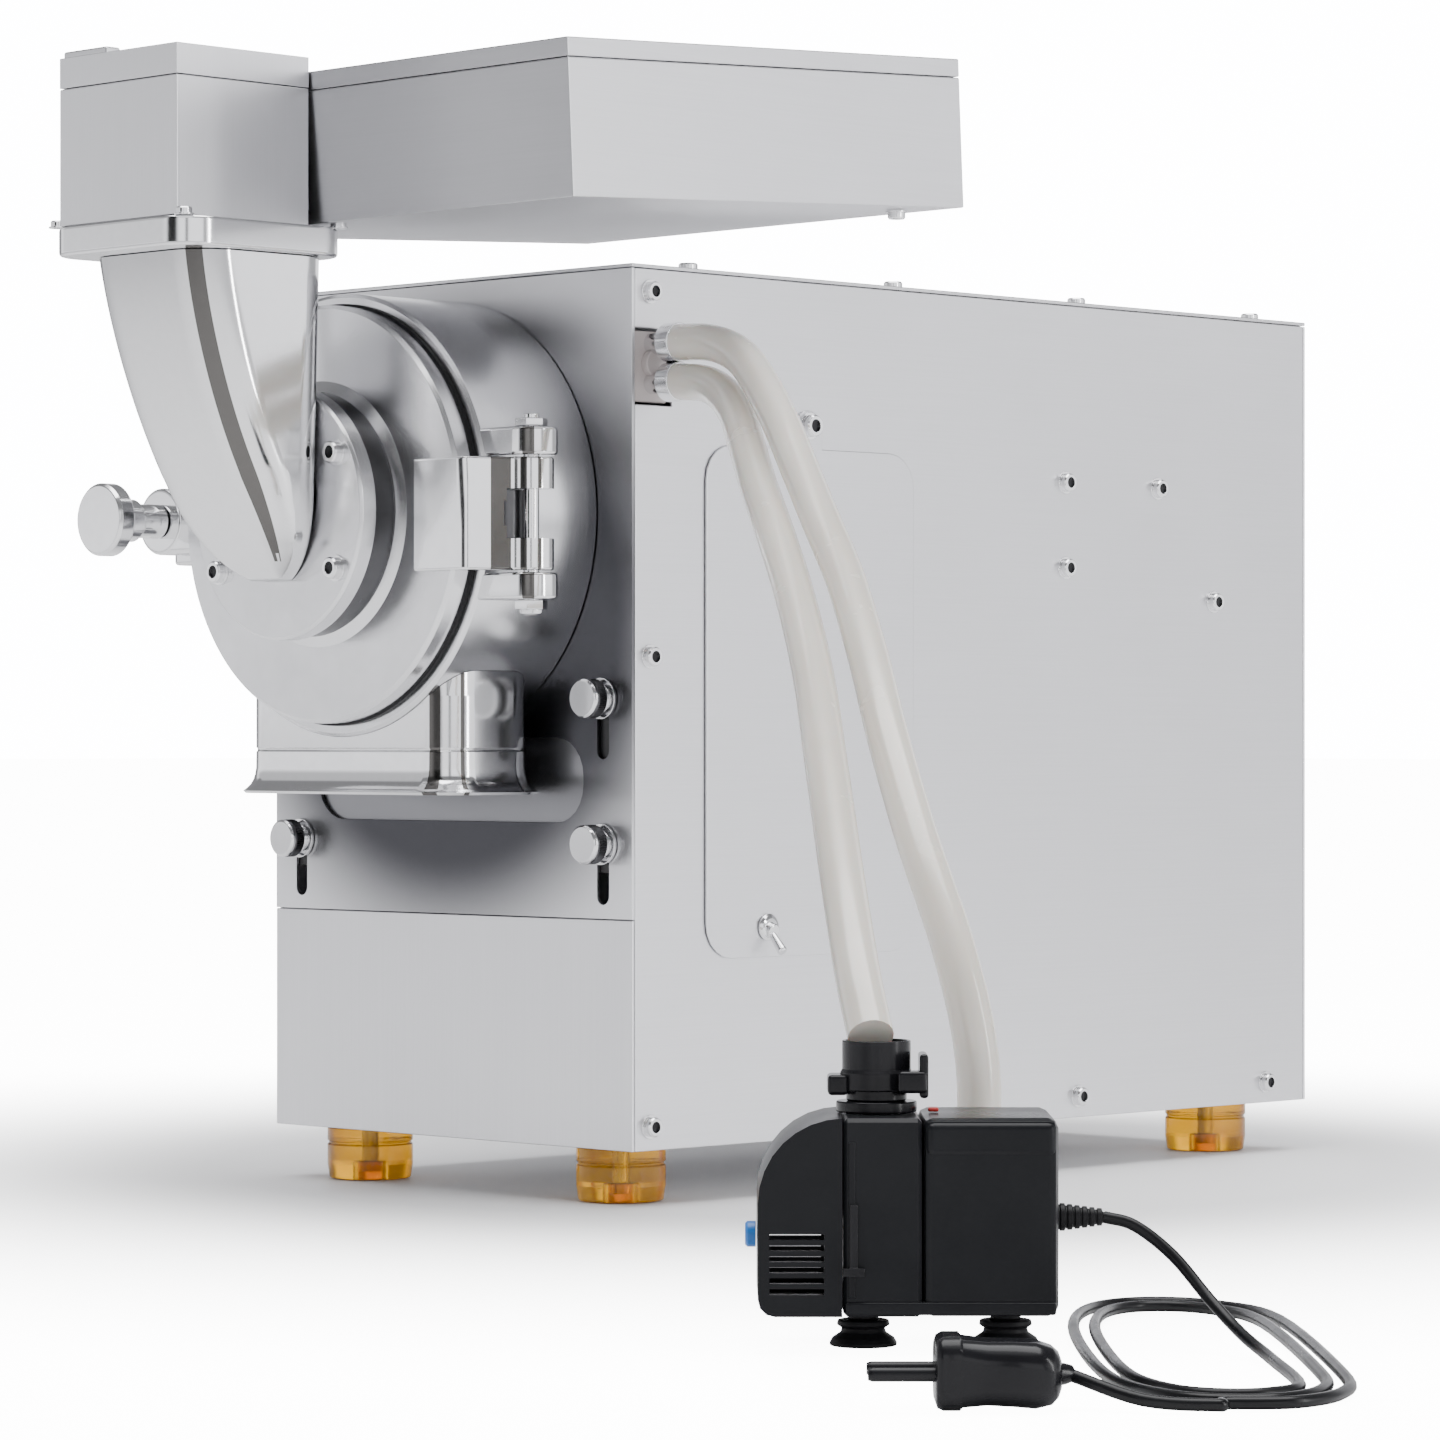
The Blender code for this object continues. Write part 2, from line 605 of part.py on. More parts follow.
def elbow_section(z, inset):
    """Half width and depth of the elbow at a height, drawn in by the inset."""
    drop = min(max((ELBOW_TOP - z) / ELBOW_DROP, 0.0), 1.0)
    depth = ELBOW_DEPTH * (1 - drop ** 1.5) ** (1 / 1.5)
    if z >= ELBOW_NOSE_Z:
        share = min((ELBOW_TOP - z) / (ELBOW_TOP - ELBOW_NOSE_Z), 1.0)
        half = ELBOW_HALF_TOP + (ELBOW_HALF_LOW - ELBOW_HALF_TOP) * max(share, 0.0)
    else:
        half = ELBOW_HALF_LOW * math.sqrt(max(1 - ((ELBOW_NOSE_Z - z) / ELBOW_NOSE) ** 2, 0.0))
    return half - inset, depth - 2 * inset


def elbow_body(levels, inset):
    """Stacked rounded sections whose back stays on one plane and whose front curves in."""
    bm = bmesh.new()
    rings = []
    for z, at in levels:
        half, depth = elbow_section(at, inset)
        back = ELBOW_BACK - inset
        radius = min(15.0 - inset, 0.9 * half, 0.45 * depth)
        outline = rounded_rectangle((-half, back - depth), (half, back), radius, 4)
        rings.append([bm.verts.new((x, y, z)) for x, y in outline])
    for upper, lower in zip(rings, rings[1:]):
        for i, j in zip(range(len(upper)), [*range(1, len(upper)), 0]):
            bm.faces.new((upper[i], lower[i], lower[j], upper[j]))
    bm.faces.new(rings[0])
    bm.faces.new(rings[-1])
    return mesh_of(bm, smooth=True)


def make_elbow():
    heights = (COLLAR_LOW - GAP, 340, 318, 300, 285, 270, 257, 247, 240)
    elbow = piece("feed_elbow", elbow_body([(z, z) for z in heights], 0), "polished_steel", frame=DOOR)
    inner = [(370.0, COLLAR_LOW)] + [(z, z) for z in heights[1:-2]]
    cut(elbow, tool("elbow_inside", elbow_body(inner, ELBOW_WALL)))
    mouth = rod(FEED_HOLE_RADIUS, 285, 300, 40)
    cut(elbow, tool("elbow_mouth", mouth, at=(0, 0, FEED_HOLE_Z), facing=FACING_FRONT))


def make_duct():
    low = (-COLLAR_HALF, COLLAR_CENTRE_Y - COLLAR_HALF)
    high = (COLLAR_HALF, COLLAR_CENTRE_Y + COLLAR_HALF)
    outer = rounded_rectangle(low, high, 16, 6)
    inner = rounded_rectangle((-32, -357), (32, -309), 8, 4)
    piece("duct_collar", plate(outer, COLLAR_HIGH - COLLAR_LOW, [inner], COLLAR_LOW), "polished_steel",
          frame=DOOR)

    low, high = (-DUCT_HALF, DUCT_FRONT), (DUCT_HALF, DUCT_REAR)
    box = piece("duct_box", block((*low, COLLAR_HIGH + GAP), (*high, DUCT_LIP_Z - GAP)), "satin_sheet",
                frame=DOOR)
    cut(box, tool("duct_inside", block((low[0] + 1.5, low[1] + 1.5, 360),
                                       (high[0] - 1.5, high[1] - 1.5, 450))))
    cut(box, tool("duct_window", block((-31, DUCT_REAR - 8, 380), (31, DUCT_REAR + 8, 420))))

    cap = piece("duct_cap", block((*low, DUCT_LIP_Z), (*high, DUCT_TOP)), "satin_sheet", frame=DOOR)
    inside_low = (low[0] + 1.5, low[1] + 1.5, DUCT_LIP_Z - 5)
    inside_high = (high[0] - 1.5, high[1] - 1.5, DUCT_TOP - 1.5)
    cut(cap, tool("cap_inside", block(inside_low, inside_high)))
    join(cap, tool("cap_grip", block((-34, DUCT_FRONT + 1, DUCT_TOP - 1),
                                     (-8, DUCT_FRONT + 8, DUCT_TOP + 2.5), 0.8)))


def make_tray():
    """The shallow feed tray and its lid, drawn level and then pitched up towards the back."""
    tray_frame = empty("tray_frame", (0, TRAY_FRONT, TRAY_Z), parent=DOOR)
    tray_frame.rotation_euler = (TRAY_PITCH, 0, 0)
    low, high = (TRAY_LEFT, 0, 0), (TRAY_RIGHT, TRAY_LENGTH, TRAY_WALL_HEIGHT)
    tray = piece("feed_tray", block(low, high), "satin_sheet", frame=tray_frame)
    wall = 1.5
    inside = block((low[0] + wall, wall, wall), (high[0] - wall, high[1] - wall, high[2] + 10))
    cut(tray, tool("tray_inside", inside, frame=tray_frame))
    cut(tray, tool("tray_gate", block((-31, -8, 5.5), (31, 8, 44)), frame=tray_frame))

    hinge = Vector((0, TRAY_LENGTH, TRAY_WALL_HEIGHT))
    shell = block((low[0], -TRAY_LENGTH, GAP), (high[0], 0, TRAY_LID_HEIGHT + GAP))
    lid = piece("tray_lid", shell, "satin_sheet", at=hinge, frame=tray_frame)
    hollow = block((low[0] + wall, -TRAY_LENGTH + wall, -5),
                   (high[0] - wall, -wall, TRAY_LID_HEIGHT + GAP - wall))
    cut(lid, tool("lid_inside", hollow, at=hinge, frame=tray_frame))


def make_clamp_knob():
    profile = [(0, 303), (13.3, 303), (14.5, 301.6), (14.5, 296.4), (13.3, 295), (8.5, 295), (8.5, 286),
               (6.8, 284),
               (6.8, 272.6), (3.0, 272.6), (3.0, 261.6), (4.8, 261.6), (4.8, 259.6), (3.0, 259.6), (3.0,
                                                                                                    247), (0, 247)]
    turned("clamp_knob", profile, "polished_steel", (-PIN_X, 0, AXIS_Z), FACING_FRONT, 20, DOOR)


# The adjuster behind the front panel


def make_adjuster():
    face = CASE_BACK - SHEET - GAP
    holes = [circle((side * KNOB_X, level), PIN_RADIUS + RUNNING, 16) for side in (-1,
                                                                                   1) for level in KNOB_LEVELS]
    mesh = plate(rounded_rectangle((-98, 128), (98, 206), 4, 2), SHEET, holes, face - SHEET)
    piece("adjuster_plate", mesh, "satin_sheet", facing=FACING_FRONT)
    start = CASE_BACK + GAP
    profile = [(0, start + 11), (6.6, start + 11), (7.5, start + 10.2), (7.5, start + 4.6),
               (5.4, start + 4.4),
               (5.4, start + 1.4), (8.0, start + 1.4), (8.0, start), (PIN_RADIUS, start), (PIN_RADIUS,
                                                                                           196), (0, 196)]
    for side_name, side in (("left", -1), ("right", 1)):
        for level_name, level in zip(("lower", "upper"), KNOB_LEVELS):
            at = (side * KNOB_X, 0, level)
            turned(f"thumb_screw_{level_name}_{side_name}", profile, "polished_steel", at, FACING_FRONT, 14)


def make_rear_fittings():
    inlet = piece("power_inlet", block((-73.7, 193, 52.3), (-46.3, 206.5, 73.7), 0.8, 1), "black_plastic")
    join(inlet, tool("inlet_flange", block((-78, 205.3, 48), (-42, 207.5, 78))))
    cut(inlet, tool("inlet_recess", block((-71, 197, 55), (-49, 215, 71))))
    for x in (-65, -60, -55):
        join(inlet, tool(f"inlet_pin_{-x}", block((x - 1, 196, 60), (x + 1, 206, 66))))
    rocker = piece("power_rocker", block((-11, -7, -6.2), (11, 5, 6.2), 1.2, 1), "black_plastic",
                   at=(-60, 204.0, 102))
    rocker.rotation_euler = (0, 0, math.radians(-6))


# The cooling pump, drawn in its own frame: x along its length, y away from its front face


def make_pump():
    shaft = (0, 0, PUMP_SHAFT_Z)
    low, high = (4.3, -PUMP_HALF, PUMP_LOW), (44, PUMP_HALF, PUMP_HIGH)
    piece("pump_motor_block", block(low, high, 3.0), "black_plastic", frame=PUMP)
    cut(bpy.data.objects["pump_motor_block"], pump_rod("magnet_well", 7.5, 0, 30))

    body = piece("pump_body", block((-19, -PUMP_HALF, PUMP_LOW), (4, PUMP_HALF, PUMP_HIGH), 1.2, 1),
                 "black_plastic",
                 frame=PUMP)
    cut(body, pump_rod("impeller_well", 14.0, -25, 0), pump_rod("magnet_pass", 7.5, -5, 10))
    outlet_bore = tool("outlet_bore", rod(4.5, PUMP_SHAFT_Z, 80, 20), at=(-8.6, 0, 0), frame=PUMP)
    cut(body, outlet_bore)

    profile = [(9.0, 85), (9.0, 73), (7.6, 72), (7.6, 69.3), (4.5, 69.3), (4.5, 85)]
    turned("pump_outlet", profile, "black_plastic", (-8.6, 0, 0), sides=16, frame=PUMP)

    make_intake_cover()
    blank = [(0, 24), (6.6, 24), (6.6, -3), (10.5, -5), (10.5, -8), (0, -8)]
    impeller = turned("pump_impeller", blank, "black_plastic", shaft, FACING_RIGHT, 24, frame=PUMP)
    impeller.rotation_euler = (math.radians(90), 0, math.radians(90))
    for index in range(4):
        vane = tool(f"impeller_vane_{index}", block((-16, 1.5, -0.8), (-7.5, 10, 0.8)), at=shaft,
                    frame=PUMP)
        vane.rotation_euler = (math.radians(90 * index), 0, 0)
        join(impeller, vane)

    foot = [(0, 10.7), (4.5, 10.7), (4.5, 7), (6.5, 6), (6.5, 4.5), (10, 1.2), (10, 0), (0, 0)]
    for name, x in (("pump_foot_left", -12.5), ("pump_foot_right", 29.7)):
        turned(name, foot, "black_rubber", (x, 0, 0), sides=16, frame=PUMP)

    knob = [(0, 3.2), (3.0, 3.2), (3.85, 2.4), (3.85, 0), (0, 0)]
    dial = turned("flow_knob", knob, "blue_plastic", (-44.4, 0, 33), sides=20, frame=PUMP)
    dial.rotation_euler = (0, math.radians(-90), 0)
    slider = piece("flow_slider", block((-1.2, -1.6, -1.5), (1.2, 0, 19.5)), "black_plastic",
                   at=(-16, -PUMP_HALF - GAP, 24.5), frame=PUMP)
    join(slider, tool("slider_grip", block((-3.2, -2.6, -1.5), (3.2, 0, 1.0)),
                      at=(-16, -PUMP_HALF - GAP, 24.5), frame=PUMP))

    gland = [(0, 14), (2.4, 14), (4.0, 0), (0, 0)]
    relief = turned("pump_gland", gland, "black_rubber", (44.3, 0, 38), sides=20, frame=PUMP)
    relief.rotation_euler = (0, math.radians(90), 0)


def pump_rod(name, radius, low, high):
    made = tool(name, rod(radius, low, high, 28), at=(0, 0, PUMP_SHAFT_Z), frame=PUMP)
    made.rotation_euler = (0, math.radians(90), 0)
    return made


def make_intake_cover():
    """The end cover with its round shoulder and six intake slots through both sides."""
    radius = 25.0
    outline = [(-19.3, PUMP_LOW), (-19.3, PUMP_HIGH)]
    outline += list(arc((-44 + radius, PUMP_HIGH - radius), radius, 90, 180, 8))[1:]
    outline += list(arc((-44 + 5, PUMP_LOW + 5), 5, 180, 270, 3))
    mesh = plate(outline, 2 * PUMP_HALF, base=-PUMP_HALF)
    cover = piece("pump_intake_cover", mesh, "black_plastic", facing=FACING_FRONT, frame=PUMP)
    cut(cover, tool("intake_inside", block((-41, -22, 14), (-10, 22, 52)), frame=PUMP))
    for row in range(6):
        z = 17.5 + 3.2 * row
        cut(cover, tool(f"intake_slot_{row}", block((-40.6, -30, z), (-24.6, 30, z + 1.7)), frame=PUMP))


def cord_route():
    """Lead from the gland, three loose turns that widen outwards, and the tail into the plug."""
    points = list(CORD_LEAD)
    for index, (half_x, half_y) in enumerate(CORD_TURNS):
        grow_x = (CORD_TURNS[min(index + 1, 2)][0] - half_x) / len(TURN_SHAPE)
        grow_y = (CORD_TURNS[min(index + 1, 2)][1] - half_y) / len(TURN_SHAPE)
        shape = TURN_SHAPE[1:] if index == 0 else TURN_SHAPE
        shape = shape if index < 2 else shape[:4]
        for step, (x, y) in enumerate(shape):
            reach_x, reach_y = half_x + grow_x * step, half_y + grow_y * step
            points.append((CORD_CENTRE[0] + reach_x * x, CORD_CENTRE[1] + reach_y * y, 2.0))
    return [*points, *CORD_TAIL]


def make_lines():
    tube("hose_supply", smooth_route(SUPPLY_ROUTE, 2), HOSE_RADIUS, "silicone", 3)
    tube("hose_return", smooth_route(RETURN_ROUTE, 2), HOSE_RADIUS, "silicone", 3)
    tube("pump_cord", smooth_route(cord_route(), 2), CORD_RADIUS, "black_rubber", 2, PUMP)


def make_plug():
    """A plain two-pin plug lying beside the loops of its cord."""
    plug = piece("pump_plug", block((-17, -12, 0), (17, 12, 20), 5.0, 3), "black_plastic",
                 at=(19.5, -146, 0.2),
                 frame=PUMP)
    for side in (-1, 1):
        prong = tool(f"plug_pin_{side}", rod(2.0, 0, 19, 12), at=(19.5 - 16, -146 + 6.5 * side, 10),
                     frame=PUMP)
        prong.rotation_euler = (0, math.radians(-90), 0)
        join(plug, prong)


PARTS, CUTTERS = start_scene()
LOOKS = {name: make_material(name, *values) for name, values in MATERIALS.items()}
MILL = empty("mill_frame", (-FOOTPRINT[0], -FOOTPRINT[1], 0))
DOOR_HINGE = empty("door_hinge", (PIN_X, PIN_Y, 0), parent=MILL)
DOOR = empty("door_frame", (-PIN_X, -PIN_Y, 0), parent=DOOR_HINGE)
PUMP = empty("pump_frame", (*PUMP_AT, 0), PUMP_TURN, MILL)

make_front_panels()
make_side_panels()
make_top_and_floor()
make_rear_panel()
make_access_panel()
make_latch()
make_feet()
make_housing()
make_chute()
make_screen()
make_hinge_pin()
make_trunnion()
make_drive()
make_rotor()
make_door()
make_elbow()
make_duct()
make_tray()
make_clamp_knob()
make_adjuster()
make_rear_fittings()
make_pump()
make_lines()
make_plug()
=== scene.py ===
# %% [markdown]
# # A water-cooled bench hammer mill
#
# The machine is a folded stainless case on amber feet. A polished grinding drum stands out of its
# front, with a hinged door, a feed elbow, a small duct and a lidded tray. Two silicone hoses run to a
# small black pump, whose lead lies in loose turns on the floor.
#
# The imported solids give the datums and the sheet-metal shapes, which only get soft edges here. The
# polished pieces are turned or lofted again from the same drawings, with many more steps.

# %% Load the frame
import math

import bmesh
import bpy
from mathutils import Matrix, Vector


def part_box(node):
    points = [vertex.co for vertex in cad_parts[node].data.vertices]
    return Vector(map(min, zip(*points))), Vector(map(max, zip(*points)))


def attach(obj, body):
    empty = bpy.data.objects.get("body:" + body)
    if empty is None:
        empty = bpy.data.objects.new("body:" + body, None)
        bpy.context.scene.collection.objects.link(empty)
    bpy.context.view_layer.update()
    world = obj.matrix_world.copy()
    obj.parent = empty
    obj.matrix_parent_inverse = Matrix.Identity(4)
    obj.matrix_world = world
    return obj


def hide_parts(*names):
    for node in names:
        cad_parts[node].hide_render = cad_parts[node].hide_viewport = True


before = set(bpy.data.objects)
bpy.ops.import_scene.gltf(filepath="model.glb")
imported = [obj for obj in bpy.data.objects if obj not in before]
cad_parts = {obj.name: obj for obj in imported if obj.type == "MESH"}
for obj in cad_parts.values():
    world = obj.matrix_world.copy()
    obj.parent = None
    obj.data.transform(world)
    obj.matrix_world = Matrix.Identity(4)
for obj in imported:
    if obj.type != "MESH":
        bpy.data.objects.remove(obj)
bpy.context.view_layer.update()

# %% [markdown]
# ## Two working frames
#
# A machine is easier to draw from its own datum than from the corner of a room. Drawings here are in
# millimetres from the floor under the middle of the case. The pump has a datum of its own, between
# its two feet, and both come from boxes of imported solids, so nothing is fitted by eye.

# %% Datums
MM = 0.001


def middle(node):
    low, high = (Vector(corner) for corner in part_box(node))
    return (low + high) / 2


def on_floor(point):
    return Vector((point.x, point.y, 0))


def datum(point, turn=0.0):
    """A drawing in millimetres, turned about Z and put down at this point."""
    return Matrix.Translation(point) @ Matrix.Rotation(turn, 4, "Z") @ Matrix.Scale(MM, 4)


FACING_FRONT = Matrix(((1, 0, 0, 0), (0, 0, -1, 0), (0, 1, 0, 0), (0, 0, 0, 1)))
FACING_RIGHT = Matrix(((0, 0, 1, 0), (1, 0, 0, 0), (0, 1, 0, 0), (0, 0, 0, 1)))
FACING_LEFT = Matrix(((0, 0, -1, 0), (-1, 0, 0, 0), (0, 1, 0, 0), (0, 0, 0, 1)))
FACING_BACK = Matrix(((-1, 0, 0, 0), (0, 0, 1, 0), (0, 1, 0, 0), (0, 0, 0, 1)))
FACING_UP = Matrix.Identity(4)

MILL = datum(on_floor(middle("top_cover")))
foot_left, foot_right = middle("pump_foot_left"), middle("pump_foot_right")
pump_along = (foot_right - foot_left).normalized()
PUMP_FOOT_X = 12.5
PUMP = datum(on_floor(foot_left + pump_along * PUMP_FOOT_X * MM), math.atan2(pump_along.y, pump_along.x))
AXIS_Z = 266.4


def at(*place):
    return Matrix.Translation(place)


ON_AXIS = at(0, 0, AXIS_Z) @ FACING_FRONT


def placed(name, data):
    """A new object, put into the scene."""
    made = bpy.data.objects.new(name, data)
    bpy.context.scene.collection.objects.link(made)
    return made


print("case datum", tuple(round(x, 4) for x in MILL.translation), "pump",
      tuple(round(x, 4) for x in PUMP.translation))

# %% [markdown]
# ## The camera
#
# A long lens from far away keeps upright edges upright, as in a catalogue picture. The camera looks
# level, at the height of the middle of the case, along the diagonal of the floor.

# %% Camera
CAMERA_PLACE = (1533.8, -1586.2, 181.0)
LENS, SENSOR, RISE = 130, 36, 0.0104
camera = placed("camera", bpy.data.cameras.new("camera"))
camera.location = MILL @ Vector(CAMERA_PLACE)
camera.rotation_euler = (math.radians(90), 0, math.radians(45))
camera.data.lens, camera.data.sensor_width, camera.data.shift_y = LENS, SENSOR, RISE
bpy.context.scene.camera = camera
print("camera", tuple(round(x, 3) for x in camera.location))

# %% [markdown]
# ## Routes of the hoses and of the lead
#
# A hose keeps its length, so its line is settled before anything is drawn round it. The points are
# few and far apart, and a Catmull-Rom curve passes through all of them without a corner, which is
# how a stiff tube lies. The loose turns of the lead come from one drawn turn that grows a little.

# %% Lines
SUPPLY_ROUTE = (
    (118.9, -193.0, 316.0), (133.7, -194.3, 314.4), (148.5, -199.6, 309.8), (167.0, -210.6, 300.8),
    (190.0, -228.6, 287.6), (222.0, -254.5, 270.0), (258.0, -283.0, 251.5), (296.0, -312.5, 229.0),
    (340.0, -349.0, 201.5), (385.0, -389.0, 169.5), (425.0, -424.0, 137.0), (455.0, -449.0, 110.0),
    (472.3, -461.3, 91.3),
)
RETURN_ROUTE = (
    (118.9, -193.0, 331.0), (133.7, -194.1, 330.2), (148.0, -197.3, 327.3), (164.0, -203.6, 321.4),
    (186.5, -217.0, 310.0), (214.0, -235.3, 294.6), (243.0, -255.5, 276.5), (276.0, -279.0, 256.5),
    (311.0, -303.0, 234.0), (347.0, -330.0, 207.5), (380.0, -354.5, 178.0), (408.0, -371.5, 147.5),
    (430.0, -379.5, 116.0), (441.0, -381.4, 88.0), (443.0, -381.0, 64.3), (440.9, -383.1, 46.1),
    (434.8, -389.2, 29.8), (425.3, -398.7, 17.2), (413.0, -411.0, 9.6), (400.0, -424.0, 7.3),
)
CORD_LEAD = (
    (58.8, 0.0, 38.0), (68.0, -1.0, 35.5), (79.0, -5.0, 27.0), (89.0, -14.0, 15.0), (97.0, -29.0, 6.5),
    (103.0, -52.0, 2.2),
)
CORD_TURNS = ((24.0, 104.0), (29.5, 115.0), (35.5, 124.0))
CORD_CENTRE = (84.0, -26.0)
CORD_TAIL = ((78.0, -154.0, 2.0), (58.0, -152.5, 3.2), (38.6, -143.0, 9.0))
TURN_SHAPE = ((1.0, -0.5), (0.86, -0.82), (0.45, -0.98), (-0.1, -1.0), (-0.6, -0.9), (-0.93, -0.62),
              (-1.02, -0.05), (-0.95, 0.55), (-0.66, 0.9), (-0.12, 1.02), (0.5, 0.93), (0.92, 0.6))
HOSE_RADIUS = 7.0
CORD_RADIUS = 1.8


def smooth_route(points, per_span):
    route = [Vector(p) for p in points]
    ends = [2 * route[0] - route[1], *route, 2 * route[-1] - route[-2]]
    made = []
    for a, b, c, d in zip(ends, ends[1:], ends[2:], ends[3:]):
        for step in range(per_span):
            t = step / per_span
            made.append(0.5 * (2 * b + (c - a) * t + (2 * a - 5 * b + 4 * c - d) * t * t
                               + (3 * b - a - 3 * c + d) * t ** 3))
    return [*made, route[-1]]


def cord_route():
    points = list(CORD_LEAD)
    for index, (half_x, half_y) in enumerate(CORD_TURNS):
        following = CORD_TURNS[min(index + 1, 2)]
        grow_x = (following[0] - half_x) / len(TURN_SHAPE)
        grow_y = (following[1] - half_y) / len(TURN_SHAPE)
        shape = TURN_SHAPE[1:] if index == 0 else TURN_SHAPE
        shape = shape if index < 2 else shape[:4]
        for step, (x, y) in enumerate(shape):
            reach_x, reach_y = half_x + grow_x * step, half_y + grow_y * step
            points.append((CORD_CENTRE[0] + reach_x * x, CORD_CENTRE[1] + reach_y * y, 2.0))
    return [*points, *CORD_TAIL]


def length_of(route):
    return sum((b - a).length for a, b in zip(route, route[1:])) * MM


supply_line = smooth_route(SUPPLY_ROUTE, 20)
return_line = smooth_route(RETURN_ROUTE, 20)
cord_line = smooth_route(cord_route(), 6)
print(f"supply {length_of(supply_line):.3f} m, return {length_of(return_line):.3f} m,",
      f"lead {length_of(cord_line):.3f} m")

# %% [markdown]
# ## Shared finishes
#
# Rolled and polished steel share three marks: fine straight brushing, soft smears where hands and
# cloths have been, and a very slight waviness that bends reflections. Each is one node group with
# named inputs, so every metal uses the same marks at its own strength. All of them read Object
# coordinates, so a pattern sits still on its piece while the piece swings.

# %% Node groups


def node_group(name, inputs, outputs):
    tree = bpy.data.node_groups.new(name, "ShaderNodeTree")
    for label, kind, value in inputs:
        socket = tree.interface.new_socket(label, in_out="INPUT", socket_type=kind)
        socket.default_value = value
    for label, kind in outputs:
        tree.interface.new_socket(label, in_out="OUTPUT", socket_type=kind)
    return tree, tree.nodes.new("NodeGroupInput"), tree.nodes.new("NodeGroupOutput")


def noise(tree, vector, scale, detail, roughness=0.5):
    made = tree.nodes.new("ShaderNodeTexNoise")
    made.inputs["Scale"].default_value = scale
    made.inputs["Detail"].default_value = detail
    made.inputs["Roughness"].default_value = roughness
    tree.links.new(vector, made.inputs["Vector"])
    return made.outputs["Fac"]


def ramp(tree, value, low, high, to_low=0.0, to_high=1.0):
    made = tree.nodes.new("ShaderNodeMapRange")
    for label, number in (("From Min", low), ("From Max", high), ("To Min", to_low), ("To Max", to_high)):
        made.inputs[label].default_value = number
    tree.links.new(value, made.inputs["Value"])
    return made.outputs["Result"]


def maths(tree, operation, first, second):
    made = tree.nodes.new("ShaderNodeMath")
    made.operation = operation
    for socket, value in zip(made.inputs, (first, second)):
        if isinstance(value, (int, float)):
            socket.default_value = value
        else:
            tree.links.new(value, socket)
    return made.outputs[0]


def brushing_group():
    """Fine straight lines: noise that is drawn out along one axis."""
    tree, given, out = node_group(
        "brushing", [("Vector", "NodeSocketVector", (0, 0, 0)), ("Stretch", "NodeSocketVector", (1, 1, 1))],
        [("Lines", "NodeSocketFloat"), ("Smears", "NodeSocketFloat")])
    scaled = tree.nodes.new("ShaderNodeVectorMath")
    scaled.operation = "MULTIPLY"
    tree.links.new(given.outputs["Vector"], scaled.inputs[0])
    tree.links.new(given.outputs["Stretch"], scaled.inputs[1])
    lines = noise(tree, scaled.outputs[0], 1.0, 4.0, 0.62)
    smears = noise(tree, given.outputs["Vector"], 9.0, 3.0, 0.55)
    tree.links.new(ramp(tree, lines, 0.25, 0.75), out.inputs["Lines"])
    tree.links.new(ramp(tree, smears, 0.35, 0.7), out.inputs["Smears"])
    return tree


def moulding_group():
    """The fine spark-eroded grain of a plastic mould, with faint flow marks."""
    tree, given, out = node_group(
        "moulding", [("Vector", "NodeSocketVector", (0, 0, 0)), ("Scale", "NodeSocketFloat", 900.0)],
        [("Grain", "NodeSocketFloat"), ("Flow", "NodeSocketFloat")])
    grain = tree.nodes.new("ShaderNodeTexNoise")
    grain.inputs["Detail"].default_value = 2.0
    tree.links.new(given.outputs["Vector"], grain.inputs["Vector"])
    tree.links.new(given.outputs["Scale"], grain.inputs["Scale"])
    tree.links.new(grain.outputs["Fac"], out.inputs["Grain"])
    tree.links.new(ramp(tree, noise(tree, given.outputs["Vector"], 26.0, 3.0), 0.3, 0.7),
                   out.inputs["Flow"])
    return tree


BRUSHING, MOULDING = brushing_group(), moulding_group()
print("groups:", BRUSHING.name, MOULDING.name)

# %% [markdown]
# ## Metals
#
# A metal is almost only its reflections, so polished steel could have one colour and leave the rest
# to the room. Most of these metals do, with marks that drive roughness and a very small bump. Some
# looks are painted light and shade instead, and so they stay the same in any light and from any side:
# painted shade round the drum, painted dark reflection lines down polished corners, painted shade on
# the front faces of the tray and lid, a darker plate behind the window with painted black shade behind
# its slots, and a dark steel for painted shade in recesses and knurls. Folded sheet is brushed along
# its length, and turned pieces carry rings round their own axis, which a stretch along that axis gives.

# %% Metals


def material(name, colour, roughness, metallic, **constants):
    made = bpy.data.materials.new(name)
    made.use_nodes = True
    shader = made.node_tree.nodes["Principled BSDF"]
    shader.inputs["Base Color"].default_value = (*colour, 1)
    shader.inputs["Roughness"].default_value = roughness
    shader.inputs["Metallic"].default_value = metallic
    for label, value in constants.items():
        shader.inputs[label.replace("_", " ")].default_value = value
    made.diffuse_color = (*colour, 1)
    return made, made.node_tree, shader


def object_vector(tree):
    return tree.nodes.new("ShaderNodeTexCoord").outputs["Object"]


def use_group(tree, group, vector, **values):
    made = tree.nodes.new("ShaderNodeGroup")
    made.node_tree = group
    tree.links.new(vector, made.inputs["Vector"])
    for label, value in values.items():
        made.inputs[label].default_value = value
    return made


def tinted(tree, factor, low, high):
    """A colour between two, chosen by a mask."""
    made = tree.nodes.new("ShaderNodeMix")
    made.data_type = "RGBA"
    made.inputs["A"].default_value = (*low, 1)
    made.inputs["B"].default_value = (*high, 1)
    tree.links.new(factor, made.inputs["Factor"])
    return made.outputs["Result"]


def bump(tree, shader, height, distance, strength=1.0):
    made = tree.nodes.new("ShaderNodeBump")
    made.inputs["Distance"].default_value = distance
    made.inputs["Strength"].default_value = strength
    tree.links.new(height, made.inputs["Height"])
    tree.links.new(made.outputs["Normal"], shader.inputs["Normal"])


